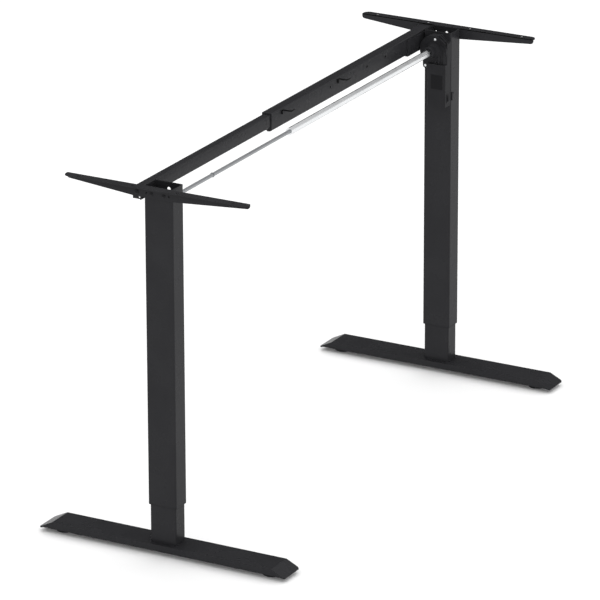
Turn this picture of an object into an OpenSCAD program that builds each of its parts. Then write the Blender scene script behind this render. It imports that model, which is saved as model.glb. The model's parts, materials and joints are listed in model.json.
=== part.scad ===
// Standing desk frame: two telescoping columns on channel feet, joined by a crossbeam of
// two nested channels, and driven together by one motor through a telescoping hex shaft.
// X runs along the crossbeam, Y from front to back and Z up. The origin is on the floor,
// midway between the columns.

/* [Overall] */
// Distance between the centres of the two columns
leg_pitch = 1110; // [1080:5:1180]
// Height of the desktop faces with the columns fully lowered
frame_height = 726; // [715:1:743]
// Drop of the column heads below the desktop faces
head_drop = 3; // [2:0.5:5]
// Stroke of each telescoping column
lift_travel = 440; // [380:10:444]
// Thickness of cutting overrun past a face
overrun = 1; // [0.5:0.1:2]

/* [Columns] */
// Front to back size of the outer tube
outer_depth = 60; // [56:1:64]
// Side to side size of the outer tube
outer_width = 40; // [38:1:44]
// Length of the outer tube
outer_length = 624; // [612:2:632]
// Wall of both tubes
tube_wall = 1.5; // [1.2:0.1:1.8]
// Corner radius of both tubes
tube_corner = 3; // [2.5:0.1:4]
// Space between the outer and inner tube, on each side
tube_gap = 1; // [0.8:0.1:1.4]
// Running clearance of the plastic sliders
slider_clearance = 0.1; // [0.08:0.01:0.2]
// Length of the guide bush in the foot of the outer tube
guide_bush_length = 38; // [30:1:40]
// Height of the rim of the guide bush below the outer tube
guide_rim_height = 1.6; // [1:0.1:3]
// Length of the slider at the head of the inner tube
top_slider_length = 36; // [30:1:40]

/* [Feet] */
// Length of a foot over both noses
foot_length = 532; // [500:2:576]
// Width of a foot
foot_width = 59; // [58:1:70]
// Height of the foot's channel
foot_depth = 13; // [12:0.5:16]
// Sheet thickness of the foot
foot_sheet = 2.5; // [2:0.1:3]
// Space under the foot's side walls
foot_clearance = 9; // [9:0.5:12]
// Length of the sloping nose at each end, measured level
nose_length = 28; // [24:1:36]
// Drop of the nose
nose_drop = 13.5; // [10:0.5:15]
// Corner radius of the nose
nose_corner = 6; // [4:0.5:10]
// Distance of a levelling glide from the start of the nose
glide_inset = 14; // [12:1:24]
// Diameter of a levelling glide
glide_diameter = 38; // [34:1:44]
// Height of a glide's pad
glide_height = 8; // [7:0.5:8.5]
// Travel of a levelling glide
glide_travel = 5; // [3:0.5:5]
// Diameter of a glide's stud
glide_stud_diameter = 8; // [6:0.5:10]

/* [Side brackets] */
// Length of a side bracket
bracket_length = 386; // [360:2:420]
// Sheet thickness of a side bracket
bracket_sheet = 2.5; // [2:0.1:3]
// Width of the bracket's top flange, with the web
bracket_flange = 18; // [16:1:24]
// Height of the bracket's web at the column
bracket_web = 19; // [18:0.5:24]
// Height of the bracket's web at its tips
bracket_tip = 9.5; // [8:0.5:12]
// Rounding of the tips
bracket_corner = 4; // [2:0.5:5]
// Distance between the outer desktop screw holes
desktop_hole_span = 326; // [300:2:350]
// Distance between the inner desktop screw holes
desktop_hole_inner_span = 94; // [80:2:120]
// Diameter of a desktop screw hole
desktop_hole_diameter = 6.5; // [5:0.5:7]

/* [Crossbeam] */
// Front to back place of the crossbeam's front face
beam_front = 36; // [35:0.5:38]
// Depth of the outer beam, front to back
outer_beam_depth = 21; // [20:0.5:26]
// Height of the outer beam
outer_beam_height = 34.6; // [33:0.2:38]
// Length of the outer beam
outer_beam_length = 657.5; // [620:2.5:680]
// Sheet thickness of both beams
beam_sheet = 1.8; // [1.5:0.1:2]
// Bend radius of both beams
beam_bend = 2; // [1.5:0.1:3]
// Height of the return lips of the outer beam
beam_lip = 6; // [4:0.5:8]
// Depth of the inner beam, front to back
inner_beam_depth = 16; // [14:0.5:16.5]
// Height of the inner beam
inner_beam_height = 25.3; // [24:0.1:26]
// Length of the inner beam
inner_beam_length = 712; // [660:4:740]
// Sliding clearance between the beams
beam_clearance = 0.2; // [0.15:0.05:0.4]
// Thickness of the plastic strip over the inner beam
beam_strip = 0.8; // [0.6:0.1:1]
// Flare of the outer beam's top flange at its bracket
beam_flare = 6; // [4:0.5:8]

/* [Drive shaft] */
// Depth of the drive shaft's axis under the column heads
shaft_drop = 31; // [30:0.5:32]
// Width across the flats of the inner hex rod
rod_flats = 7; // [6:0.1:8]
// Width across the flats of the outer hex tube
shaft_tube_flats = 14; // [12:0.5:14.5]
// Length of the hex tube
shaft_tube_length = 614; // [580:2:630]
// Length of the hex rod
rod_length = 700; // [660:5:740]
// Sliding clearance between the rod and the tube, on each flat
shaft_clearance = 0.2; // [0.15:0.05:0.4]
// Place of the stop collar on the rod, from the left column's centre
rod_collar_place = 175; // [150:5:260]

/* [Lift screws] */
// Diameter of the lead screws
screw_diameter = 16; // [14:0.5:18]
// Diameter of the bearing journals of the lead screws
journal_diameter = 8; // [7:0.5:8]
// Running clearance of shafts in their bores, on the radius
running_clearance = 0.05; // [0.03:0.01:0.08]
// Length of the drive nuts
nut_length = 36; // [30:1:40]
// Pitch radius of the bevel gears
bevel_radius = 8.5; // [8.2:0.1:9]
// Number of teeth of a bevel gear
bevel_teeth = 14; // [12:1:14]
// Face width of a bevel gear
bevel_face = 4; // [3:0.1:4.2]

/* [Motor unit] */
// Radius of the gearbox drum
drum_radius = 30; // [28:0.5:30.5]
// Depth of the gearbox drum, along the shaft
drum_depth = 20; // [18:0.5:22]
// Length of the shaft boss in front of the drum
boss_length = 24; // [16:1:30]
// Radius of the shaft boss
boss_radius = 11.5; // [10.5:0.5:13]
// Pitch radius of the worm wheel
wheel_radius = 15; // [14:0.5:16]
// Pitch radius of the worm
worm_radius = 4.5; // [4:0.1:5]
// Width of the motor housing, front to back
motor_box_width = 40; // [38:1:44]
// Depth of the motor housing, along the shaft
motor_box_depth = 25; // [25:0.5:28]
// Height of the motor housing
motor_box_height = 89; // [80:1:100]
// Wall of the motor housing
motor_wall = 1.5; // [1.2:0.1:2]

/* [Hidden] */

// Finish colours, as the object shows them.
paint_black = "#2b2b2d";
plastic_black = "#202022";
plated_steel = "#c9cbcd";
bare_steel = "#a9abad";
brass = "#b9985a";
nylon = "#e4e1d8";
board_green = "#2f5d3f";
label_grey = "#232326";

// Facets of round parts that stay true cylinders.
fine = 48;
small = 24;

// Levels.
column_top = frame_height - head_drop;
foot_top = foot_clearance + foot_depth;
outer_bottom = column_top - outer_length;
shaft_z = column_top - shaft_drop;
web_hole_drop = 10.5;

// Half sizes of the tubes and their bores.
outer_half_x = outer_width / 2;
outer_half_y = outer_depth / 2;
bore_x = outer_width - 2 * tube_wall;
bore_y = outer_depth - 2 * tube_wall;
inner_width = bore_x - 2 * tube_gap;
inner_depth = bore_y - 2 * tube_gap;
inner_bore_x = inner_width - 2 * tube_wall;
inner_bore_y = inner_depth - 2 * tube_wall;
seat_clearance = 0.1;
face_x = leg_pitch / 2 + outer_half_x;
inner_face_x = leg_pitch / 2 - outer_half_x;

// Bevel gears: module, tooth heights and thickness.
bevel_module = 2 * bevel_radius / bevel_teeth;
bevel_addendum = 0.6 * bevel_module;
bevel_dedendum = 0.85 * bevel_module;
bevel_tooth_root = 0.85 * bevel_module;
bevel_tooth_tip = 0.45 * bevel_module;
bevel_back = bevel_radius + 1.25 * bevel_module;
bevel_reach = bevel_radius + bevel_addendum;
bevel_hub_radius = 5.5;
bevel_rim = 0.25;
// Distance from the gears' common apex to the end of the pinion's hub.
pinion_hub_end = outer_half_x - tube_wall - seat_clearance - 0.4;
pinion_bush_wall = 2.4;

// Gear case inside the head of each column.
case_margin = 1.2;
case_top = shaft_z + bevel_reach + case_margin;
case_lid = 2.6;
bearing_height = 9;
bearing_radius = 13;
case_shelf = 4;
screw_gear_hub = 4;
case_cavity_radius = norm([bevel_back, bevel_reach]) + case_margin / 3;
case_cavity_floor = shaft_z - bevel_back - screw_gear_hub - case_margin;
bearing_top = case_cavity_floor - case_shelf;
bearing_bottom = bearing_top - bearing_height;
case_skirt = 2;
case_bottom = bearing_bottom - case_skirt;

// Lead screw and nut.
head_room = 9;
inner_top = case_bottom - head_room;
screw_overhang = 5;
screw_bottom = inner_top - lift_travel - nut_length - screw_overhang;
screw_top = bearing_bottom;
journal_top = shaft_z - bevel_radius + bevel_face * cos(45);
nut_flange = 4;

// Feet.
foot_level = foot_length - 2 * nose_length;
base_plate = 8;
foot_bolt_diameter = 8;
foot_bolt_head = 13;
foot_bolt_head_height = 5;
foot_bolt_spread_x = 10;
foot_bolt_spread_y = 18;
glide_y = foot_level / 2 - glide_inset;
glide_bar = 4.5;
glide_bar_width = 24;
glide_bar_bottom = glide_height + 2;
glide_stud_top = glide_bar_bottom + glide_bar + glide_travel - seat_clearance;
nose_wall_end = nose_length * 0.65;

// Screws of the side brackets.
web_screw_y = 13;
web_hole_y = 24;
web_screw_diameter = 4;
web_screw_head = 6.4;
web_screw_head_height = 2.2;
web_hole_diameter = 4.4;
sight_hole_diameter = 7.5;
shaft_hole_diameter = 13;

// Crossbeam.
end_plate = 2.5;
beam_end_x = face_x - end_plate;
outer_beam_start = beam_end_x - outer_beam_length;
outer_beam_back = beam_front + outer_beam_depth;
outer_beam_bottom = column_top - outer_beam_height;
inner_beam_front = beam_front + beam_sheet + beam_clearance;
inner_beam_back = inner_beam_front + inner_beam_depth;
inner_beam_top = column_top - beam_sheet - beam_strip - beam_clearance;
inner_beam_bottom = inner_beam_top - inner_beam_height;
beam_flare_length = 46;
beam_notch = 26;
beam_angle_leg = 105;
inner_angle_leg = 34;
beam_bolt_diameter = 5;
beam_bolt_inset = 6;
beam_bolt_head = 8;
beam_bolt_head_height = 2.8;
beam_hole_diameter = 5;
beam_hole_places = [235, 387, 464];
beam_hole_drop = 12;
strip_length = outer_beam_length * 0.18;
pad_length = outer_beam_depth * 2;
lock_screw_diameter = 5;
lock_screw_head = 9;
lock_screw_head_height = 3.4;
lock_screw_spacing = 24;

// Cable hooks.
hook_wire = 2.8;
hook_leg = 8;
hook_arm = 20;
hook_tip = 11;
hook_places = [40, 265];

// Drive shaft.
shaft_tube_end = inner_face_x - 3.5;
shaft_tube_start = shaft_tube_end - shaft_tube_length;
rod_start = -leg_pitch / 2 + bevel_radius - bevel_face * cos(45) - 0.5;
rod_collar_diameter = 12;
rod_collar_length = 8;
spindle_grip = 26;

// Motor unit.
drum_front = inner_face_x - drum_depth;
housing_wall = 2.2;
worm_gap = wheel_radius + worm_radius;
wheel_gap = 2.8;
wheel_width = 8;
worm_x = drum_front + housing_wall + wheel_gap + wheel_width / 2;
wheel_teeth = 30;
wheel_module = 2 * wheel_radius / wheel_teeth;
wheel_addendum = 0.9 * wheel_module;
worm_core = worm_gap - wheel_radius - wheel_addendum - 0.5;
worm_bulge_radius = 9;
worm_bulge_top = 15;
corner_step = 4;
rib_height = 1.2;
motor_nest = 3;
motor_top = shaft_z - drum_radius + motor_nest;
motor_box_y = -outer_half_y;
motor_box_x = inner_face_x - motor_box_depth;
motor_box_corner = 2;
can_radius = worm_bulge_radius - 0.6;
can_length = 58;
can_floor = 8;
can_cap = 3;
worm_shaft_radius = 2;
worm_shaft_bottom = motor_top - motor_wall - can_length + can_floor + 0.5;
worm_shaft_length = shaft_z + worm_bulge_top - overrun - worm_shaft_bottom;
can_boss_radius = can_radius * 0.6;
board_inset = 6;
board_gap = 4.5;
board_width = motor_box_depth - board_inset - overrun;
board_thickness = 1.6;
board_part_height = 3.4;
label_height = 30;
label_width = 26;
label_thickness = 0.4;
label_drop = 22;

// Solid block with round upright edges, standing on the plane z = 0.
module rounded_block(x, y, z, r) {
  linear_extrude(z) rounded_rect(x, y, r);
}

// Rectangle with round corners, made of squares and circles so that its corners stay true arcs.
module rounded_rect(x, y, r) {
  square([x - 2 * r, y], center = true);
  square([x, y - 2 * r], center = true);
  for (sx = [-1, 1], sy = [-1, 1])
    translate([sx * (x / 2 - r), sy * (y / 2 - r)]) circle(r, $fn = fine);
}

// Rectangular tube with round corners, standing on the plane z = 0.
module box_tube(x, y, z, wall, r) {
  linear_extrude(z) difference() {
    rounded_rect(x, y, r);
    rounded_rect(x - 2 * wall, y - 2 * wall, r - wall);
  }
}

// Puts its children on the axis of the left (-1) or the right (1) column.
module at_leg(side) {
  translate([side * leg_pitch / 2, 0, 0]) children();
}

// Mirrors its children for the left (-1) or the right (1) side.
module on_side(side) {
  mirror([side < 0 ? 1 : 0, 0, 0]) children();
}

// Round bar along X from one place to another.
module bar_x(x0, x1, r, sides = fine) {
  translate([x0, 0, 0]) rotate([0, 90, 0]) cylinder(h = x1 - x0, r = r, $fn = sides);
}

// Hexagonal bar along X, given by its width across the flats.
module hex_x(x0, x1, flats) {
  translate([x0, 0, 0]) rotate([0, 90, 0]) cylinder(h = x1 - x0, r = flats / 2 / cos(30), $fn = 6);
}

// Upper tube of a column. The drive shaft enters through its inner wall, and a hole near its
// head takes the cable tie of the drive unit.
module outer_column(side) {
  color(paint_black) at_leg(side) difference() {
    translate([0, 0, outer_bottom]) box_tube(outer_width, outer_depth, outer_length, tube_wall, tube_corner);
    translate([0, 0, shaft_z]) bar_x(side < 0 ? 0 : -outer_width, side < 0 ? outer_width : 0,
      shaft_hole_diameter / 2);
    translate([0, 0, column_top - web_hole_drop]) bar_x(0, outer_width, sight_hole_diameter / 2);
    for (y = [-web_hole_y, -web_screw_y, web_screw_y, web_hole_y])
      translate([0, y, column_top - web_hole_drop])
        bar_x(side < 0 ? -outer_width : 0, side < 0 ? 0 : outer_width, web_hole_diameter / 2);
  }
}

// Outline of a bracket's web, seen along X.
module bracket_outline() {
  difference() {
    polygon([
      [-bracket_length / 2, 0], [-bracket_length / 2, -bracket_tip],
      [-outer_half_y, -bracket_web], [beam_front + outer_beam_depth / 2, -bracket_web],
      [bracket_length / 2, -bracket_tip], [bracket_length / 2, 0]
    ]);
    for (s = [-1, 1]) translate([s * bracket_length / 2, -bracket_tip]) corner_cut(-s, 1, bracket_corner);
  }
}

// Cutter that rounds a square corner at the origin, whose body lies towards sx, sy.
module corner_cut(sx, sy, r) {
  difference() {
    translate([sx < 0 ? -r : -overrun, sy < 0 ? -r : -overrun]) square(r + overrun);
    translate([sx * r, sy * r]) circle(r, $fn = fine);
  }
}

// Bracket that carries the desktop: an angle with a tapered web on the column's outer face
// and a flange that points outwards.
module side_bracket(side) {
  flange_bottom = frame_height - bracket_sheet;
  color(paint_black) on_side(side) difference() {
    union() {
      translate([face_x, 0, frame_height]) rotate([90, 0, 90])
        linear_extrude(bracket_sheet) bracket_outline();
      translate([face_x, -bracket_length / 2, frame_height - bracket_sheet])
        linear_extrude(bracket_sheet) difference() {
          square([bracket_flange, bracket_length]);
          translate([bracket_flange, 0]) corner_cut(-1, 1, bracket_corner);
          translate([bracket_flange, bracket_length]) corner_cut(-1, -1, bracket_corner);
        }
    }
    for (y = [-1, 1], span = [desktop_hole_span, desktop_hole_inner_span])
      translate([face_x + (bracket_flange + bracket_sheet) / 2, y * span / 2, flange_bottom - overrun])
        cylinder(h = bracket_sheet + 2 * overrun, d = desktop_hole_diameter, $fn = small);
    for (y = [-web_hole_y, -web_screw_y, web_screw_y, web_hole_y])
      translate([0, y, column_top - web_hole_drop])
        bar_x(face_x - overrun, face_x + bracket_sheet + overrun, web_hole_diameter / 2, small);
    if (side > 0) translate([0, 0, column_top - web_hole_drop])
      bar_x(face_x - overrun, face_x + bracket_sheet + overrun, sight_hole_diameter / 2);
    translate([0, beam_bolt_y(side), column_top - web_hole_drop])
      bar_x(face_x - overrun, face_x + bracket_sheet + overrun, beam_bolt_diameter / 2, small);
  }
}

// Front to back place of the bolt that joins a beam bracket to its side bracket.
function beam_bolt_y(side) = (side < 0 ? inner_beam_front : beam_front) + beam_bolt_inset;

// Pan head screw along X with its head's seat at x = 0, head towards +X.
module pan_screw_x(d, head_d, head_h, shank) {
  bar_x(-shank, head_h / 2, d / 2, small);
  translate([0, 0, 0]) rotate([0, 90, 0]) difference() {
    intersection() {
      cylinder(h = head_h, d = head_d, $fn = small);
      translate([0, 0, head_h - head_d * 0.9]) sphere(d = head_d * 1.8, $fn = fine);
    }
    translate([0, 0, head_h / 2]) cylinder(h = head_h, r = d / 4 / cos(30), $fn = 6);
  }
}

// Screws that hold a side bracket to its column and to the end of the crossbeam.
module bracket_screws(side) {
  color(plastic_black) on_side(side) translate([face_x + bracket_sheet, 0, column_top - web_hole_drop]) {
    for (y = [-web_screw_y, web_screw_y])
      translate([0, y, 0])
        pan_screw_x(web_screw_diameter, web_screw_head, web_screw_head_height, bracket_sheet + tube_wall + 2);
    translate([0, beam_bolt_y(side), 0])
      pan_screw_x(beam_bolt_diameter - seat_clearance, beam_bolt_head, beam_bolt_head_height,
        bracket_sheet + end_plate + 3);
  }
}

// Plastic bush in the foot of the outer tube, with a thin rim that shows below the tube.
module guide_bush(side) {
  color(plastic_black) at_leg(side) difference() {
    union() {
      translate([0, 0, outer_bottom - guide_rim_height])
        rounded_block(outer_width - 2 * seat_clearance, outer_depth - 2 * seat_clearance, guide_rim_height,
          tube_corner);
      translate([0, 0, outer_bottom])
        rounded_block(bore_x, bore_y, guide_bush_length, tube_corner - tube_wall);
    }
    translate([0, 0, outer_bottom - guide_rim_height - overrun])
      rounded_block(inner_width + 2 * slider_clearance, inner_depth + 2 * slider_clearance,
        guide_rim_height + guide_bush_length + 2 * overrun, tube_corner - tube_wall);
  }
}

// Die cast case that holds the bevel gears and the screw's bearing in the head of a column.
module gear_case(side) {
  color(bare_steel) at_leg(side) on_side(side) difference() {
    translate([0, 0, case_bottom])
      rounded_block(bore_x, bore_y, case_top - case_bottom, tube_corner - tube_wall);
    translate([0, 0, case_cavity_floor])
      cylinder(h = case_top - case_cavity_floor + overrun, r = case_cavity_radius, $fn = fine);
    translate([0, 0, case_bottom - overrun])
      cylinder(h = bearing_top - case_bottom + overrun, r = bearing_radius, $fn = fine);
    translate([0, 0, bearing_top - overrun])
      cylinder(h = case_shelf + 2 * overrun, r = screw_diameter / 2, $fn = fine);
    translate([0, 0, shaft_z]) bar_x(-outer_width, 0, bevel_hub_radius + pinion_bush_wall);
    for (s = [-1, 1]) translate([0, s * case_pocket_y(), case_bottom + case_pocket_wall])
      rounded_block(case_pocket_x(), case_pocket_depth, case_top - case_bottom, case_pocket_corner);
  }
}

// Relief pockets at the front and the back of a gear case.
case_pocket_wall = 3;
case_pocket_depth = 9;
case_pocket_corner = 2;
function case_pocket_x() = bore_x - 2 * case_pocket_wall - 2 * seat_clearance;
function case_pocket_y() = bore_y / 2 - case_pocket_wall - case_pocket_depth / 2;

// Lid over the gears, with a raised centre and two screw heads.
module gear_case_lid(side) {
  color(plastic_black) at_leg(side) {
    translate([0, 0, case_top]) difference() {
      rounded_block(bore_x, bore_y, case_lid, tube_corner - tube_wall);
      for (s = [-1, 1]) translate([0, s * (bore_y / 2 - 2 * web_screw_head), case_lid / 2])
        cylinder(h = case_lid, d = web_screw_head, $fn = small);
    }
  }
}

// Thrust bearing that carries the lead screw.
module thrust_bearing(side) {
  color(plated_steel) at_leg(side) translate([0, 0, bearing_bottom]) rotate_extrude($fn = fine) {
    difference() {
      translate([journal_diameter / 2 + running_clearance, 0])
        square([bearing_radius - journal_diameter / 2 - running_clearance, bearing_height]);
      translate([(bearing_radius + journal_diameter / 2) / 2, 0])
        square([bearing_radius / 6, bearing_height / 8]);
      translate([(bearing_radius + journal_diameter / 2) / 2, bearing_height * 7 / 8])
        square([bearing_radius / 6, bearing_height / 4]);
    }
  }
}

// Bush that carries the hub of a bevel pinion.
module pinion_bush(side) {
  color(brass) at_leg(side) on_side(side) translate([0, 0, shaft_z]) difference() {
    bar_x(-pinion_hub_end, -bevel_back - case_margin / 2, bevel_hub_radius + pinion_bush_wall);
    bar_x(-outer_width, 0, bevel_hub_radius + running_clearance);
  }
}

// Lower tube of a column, with the plate welded in its foot.
module inner_column(side) {
  color(paint_black) at_leg(side) translate([0, 0, foot_top]) {
    box_tube(inner_width, inner_depth, inner_top - foot_top, tube_wall, tube_corner);
    difference() {
      rounded_block(inner_bore_x, inner_bore_y, base_plate, tube_corner - tube_wall);
      for (sx = [-1, 1], sy = [-1, 1])
        translate([sx * foot_bolt_spread_x, sy * foot_bolt_spread_y, -overrun])
          cylinder(h = base_plate + 2 * overrun, d = foot_bolt_diameter + seat_clearance, $fn = small);
    }
  }
}

// Plastic slider round the head of the inner tube.
module top_slider(side) {
  color(nylon) at_leg(side) translate([0, 0, inner_top - top_slider_length]) difference() {
    rounded_block(bore_x - 2 * slider_clearance, bore_y - 2 * slider_clearance, top_slider_length,
      tube_corner - tube_wall);
    translate([0, 0, -overrun])
      rounded_block(inner_width, inner_depth, top_slider_length + 2 * overrun, tube_corner);
  }
}

// Drive nut in the head of the inner tube.
module lift_nut(side) {
  color(nylon) at_leg(side) difference() {
    union() {
      translate([0, 0, inner_top - nut_length])
        rounded_block(inner_bore_x, inner_bore_y, nut_length, tube_corner - tube_wall);
      translate([0, 0, inner_top]) rounded_block(inner_width, inner_depth, nut_flange, tube_corner);
    }
    translate([0, 0, inner_top - nut_length - overrun])
      cylinder(h = nut_length + nut_flange + 2 * overrun, r = screw_diameter / 2 + running_clearance,
        $fn = fine);
  }
}

// Side view of a foot: level in the middle, with a nose that slopes down at each end.
module foot_outline() {
  tip = foot_length / 2;
  polygon([
    [-tip, foot_top - nose_drop], [-foot_level / 2, foot_top], [foot_level / 2, foot_top],
    [tip, foot_top - nose_drop], [tip - nose_end_y(), foot_top - nose_drop - nose_end_z()],
    [foot_level / 2 + nose_wall_end, foot_clearance], [-foot_level / 2 - nose_wall_end, foot_clearance],
    [nose_end_y() - tip, foot_top - nose_drop - nose_end_z()]
  ]);
}

// Side view of the hollow under a foot, one sheet thickness below its top.
module foot_hollow() {
  y = foot_length / 2 - nose_end_y();
  fold = foot_level / 2 - foot_sheet * tan(nose_slope() / 2);
  polygon([
    [-y, foot_top - nose_drop - nose_end_z()], [-fold, foot_top - foot_sheet],
    [fold, foot_top - foot_sheet], [y, foot_top - nose_drop - nose_end_z()], [y, 0], [-y, 0]
  ]);
}

// Slope of the nose, and the level and upright size of the sheet's cut end there.
function nose_slope() = atan(nose_drop / nose_length);
function nose_end_y() = foot_sheet * sin(nose_slope());
function nose_end_z() = foot_sheet * cos(nose_slope());

// Foot: an inverted channel whose top sheet slopes down to a nose at each end, with a
// welded bar that holds each levelling glide.
module foot(side) {
  color(paint_black) at_leg(side) difference() {
    union() {
      difference() {
        along_x(-foot_width / 2, foot_width / 2) foot_outline();
        along_x(foot_sheet - foot_width / 2, foot_width / 2 - foot_sheet) foot_hollow();
      }
      for (s = [-1, 1]) translate([0, s * glide_y, glide_bar_bottom])
        linear_extrude(glide_bar) square([foot_width - foot_sheet, glide_bar_width], center = true);
    }
    for (sx = [-1, 1], sy = [-1, 1])
      translate([sx * foot_width / 2, sy * foot_length / 2, 0])
        linear_extrude(foot_top) corner_cut(-sx, -sy, nose_corner);
    for (s = [-1, 1]) translate([0, s * glide_y, 0])
      cylinder(h = glide_stud_top, r = glide_stud_diameter / 2 + running_clearance, $fn = small);
    for (sx = [-1, 1], sy = [-1, 1])
      translate([sx * foot_bolt_spread_x, sy * foot_bolt_spread_y, foot_clearance])
        cylinder(h = foot_depth + overrun, d = foot_bolt_diameter + 2 * seat_clearance, $fn = small);
  }
}

// Bolts from under the foot into the plate of the inner column.
module foot_bolts(side) {
  color(bare_steel) at_leg(side) for (sx = [-1, 1], sy = [-1, 1])
    translate([sx * foot_bolt_spread_x, sy * foot_bolt_spread_y, 0]) {
      translate([0, 0, foot_top - foot_sheet - foot_bolt_head_height])
        cylinder(h = foot_bolt_head_height, r = foot_bolt_head / 2 / cos(30), $fn = 6);
      translate([0, 0, foot_top - foot_sheet - foot_bolt_head_height / 2])
        cylinder(h = foot_sheet + foot_bolt_head_height / 2 + base_plate, d = foot_bolt_diameter,
          $fn = small);
    }
}

// Levelling glide: a round pad with a threaded stud, at the front (-1) or the back (1).
module glide(side, end) {
  r = glide_diameter / 2;
  color(plastic_black) at_leg(side) translate([0, end * glide_y, 0]) rotate_extrude($fn = fine)
    polygon([
      [0, 0], [r - glide_height / 5, 0], [r, glide_height / 5], [r, glide_height * 0.65],
      [r * 0.86, glide_height * 0.85], [r * 0.5, glide_height], [glide_stud_diameter / 2, glide_height],
      [glide_stud_diameter / 2, glide_stud_top - glide_height / 10],
      [glide_stud_diameter / 2 - glide_height / 10, glide_stud_top], [0, glide_stud_top]
    ]);
}

// Lead screw with its bearing journal and gear seat.
module lead_screw(side) {
  color(plated_steel) at_leg(side) {
    translate([0, 0, screw_bottom]) cylinder(h = screw_top - screw_bottom, d = screw_diameter, $fn = fine);
    translate([0, 0, screw_top - overrun])
      cylinder(h = journal_top - screw_top + overrun, d = journal_diameter, $fn = fine);
  }
}

// Straight bevel gear on the Z axis whose pitch cone has its apex at the origin and opens
// downwards. A tooth stands at +X when phase is 0.
module bevel_gear(bore_r, hub, phase) {
  small_r = bevel_radius - bevel_face * cos(45);
  d = bevel_dedendum * cos(45);
  difference() {
    union() {
      rotate_extrude($fn = fine) polygon([
        [0, -small_r - d + bevel_rim], [small_r - d - bevel_rim, -small_r - d + bevel_rim],
        [bevel_radius - d + bevel_rim, -bevel_radius - d - bevel_rim],
        [bevel_radius - 2 * d, -bevel_back], [bevel_hub_radius, -bevel_back],
        [bevel_hub_radius, -bevel_back - hub], [0, -bevel_back - hub]
      ]);
      for (i = [0 : bevel_teeth - 1]) rotate([0, 0, phase + i * 360 / bevel_teeth]) bevel_tooth();
    }
    translate([0, 0, -bevel_back - hub - overrun])
      cylinder(h = bevel_back + hub + overrun, r = bore_r, $fn = fine);
  }
}

// One tooth, lying on the pitch cone at +X.
module bevel_tooth() {
  base = -bevel_dedendum - bevel_module / 4;
  translate([bevel_radius, 0, -bevel_radius]) rotate([0, 45, 0]) rotate([0, 0, 180])
    rotate([90, 0, 90]) linear_extrude(bevel_face) polygon([
      [-bevel_tooth_root / 2, base], [bevel_tooth_root / 2, base],
      [bevel_tooth_tip / 2, bevel_addendum], [-bevel_tooth_tip / 2, bevel_addendum]
    ]);
}

// Bevel gear on the head of a lead screw.
module screw_gear(side) {
  color(bare_steel) at_leg(side) on_side(side) translate([0, 0, shaft_z])
    bevel_gear(journal_diameter / 2, screw_gear_hub, 180 / bevel_teeth + 180);
}

// Bevel pinion on the drive shaft.
module pinion(side) {
  hub = pinion_hub_end - bevel_back;
  color(bare_steel) at_leg(side) on_side(side) translate([0, 0, shaft_z])
    difference() {
      rotate([0, 90, 0]) bevel_gear(rod_flats / 4, hub, 0);
      hex_x(-outer_width, 0, rod_flats);
    }
}

// Thin hex rod of the drive shaft.
module hex_rod() {
  color(plated_steel) translate([0, 0, shaft_z]) hex_x(rod_start, rod_start + rod_length, rod_flats);
}

// Stop collar on the hex rod.
module rod_collar() {
  color(plated_steel) translate([-leg_pitch / 2 + rod_collar_place, 0, shaft_z]) difference() {
    bar_x(0, rod_collar_length, rod_collar_diameter / 2);
    hex_x(-overrun, rod_collar_length + overrun, rod_flats);
  }
}

// Outer hex tube of the drive shaft.
module drive_tube() {
  color(plated_steel) translate([0, 0, shaft_z]) difference() {
    intersection() {
      hex_x(shaft_tube_start, shaft_tube_end, shaft_tube_flats);
      bar_x(shaft_tube_start, shaft_tube_end, shaft_tube_flats / 2 * 1.09);
    }
    hex_x(shaft_tube_start - overrun, shaft_tube_end - spindle_grip, rod_flats + 2 * shaft_clearance);
    hex_x(shaft_tube_end - spindle_grip - overrun, shaft_tube_end + overrun, rod_flats);
  }
}

// Stub that takes the drive from the hex tube into the right column.
module right_spindle() {
  color(plated_steel) translate([0, 0, shaft_z])
    hex_x(shaft_tube_end - spindle_grip, -rod_start, rod_flats);
}

// Section of an open channel, front wall at x = 0, open towards +X, top at y = 0.
module channel_section(depth, height, sheet, lip) {
  r = beam_bend;
  difference() {
    translate([0, -height]) square([depth, height]);
    corner_cut_at(0, 0, 1, -1, r);
    corner_cut_at(0, -height, 1, 1, r);
    difference() {
      translate([sheet, -height + sheet]) square([depth, height - 2 * sheet]);
      if (lip > 0) {
        translate([depth - sheet, -lip]) square([sheet, lip]);
        translate([depth - sheet, -height]) square([sheet, lip]);
      }
    }
  }
}

// Rounds the corner at x, y.
module corner_cut_at(x, y, sx, sy, r) {
  translate([x, y]) corner_cut(sx, sy, r);
}

// Runs a section drawn front to back and upwards along X.
module along_x(x0, x1) {
  translate([x0, 0, 0]) rotate([90, 0, 90]) linear_extrude(x1 - x0) children();
}

// Inner channel of the crossbeam. Its lower flange is cut back beside the left bracket.
module inner_beam() {
  start = -beam_end_x;
  color(paint_black) difference() {
    along_x(start, start + inner_beam_length) translate([inner_beam_front, inner_beam_top])
      channel_section(inner_beam_depth, inner_beam_height, beam_sheet, 0);
    translate([start - overrun, inner_beam_front + beam_sheet, inner_beam_bottom - overrun])
      cube([beam_notch + overrun, inner_beam_depth, beam_sheet + 2 * overrun]);
  }
}

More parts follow.
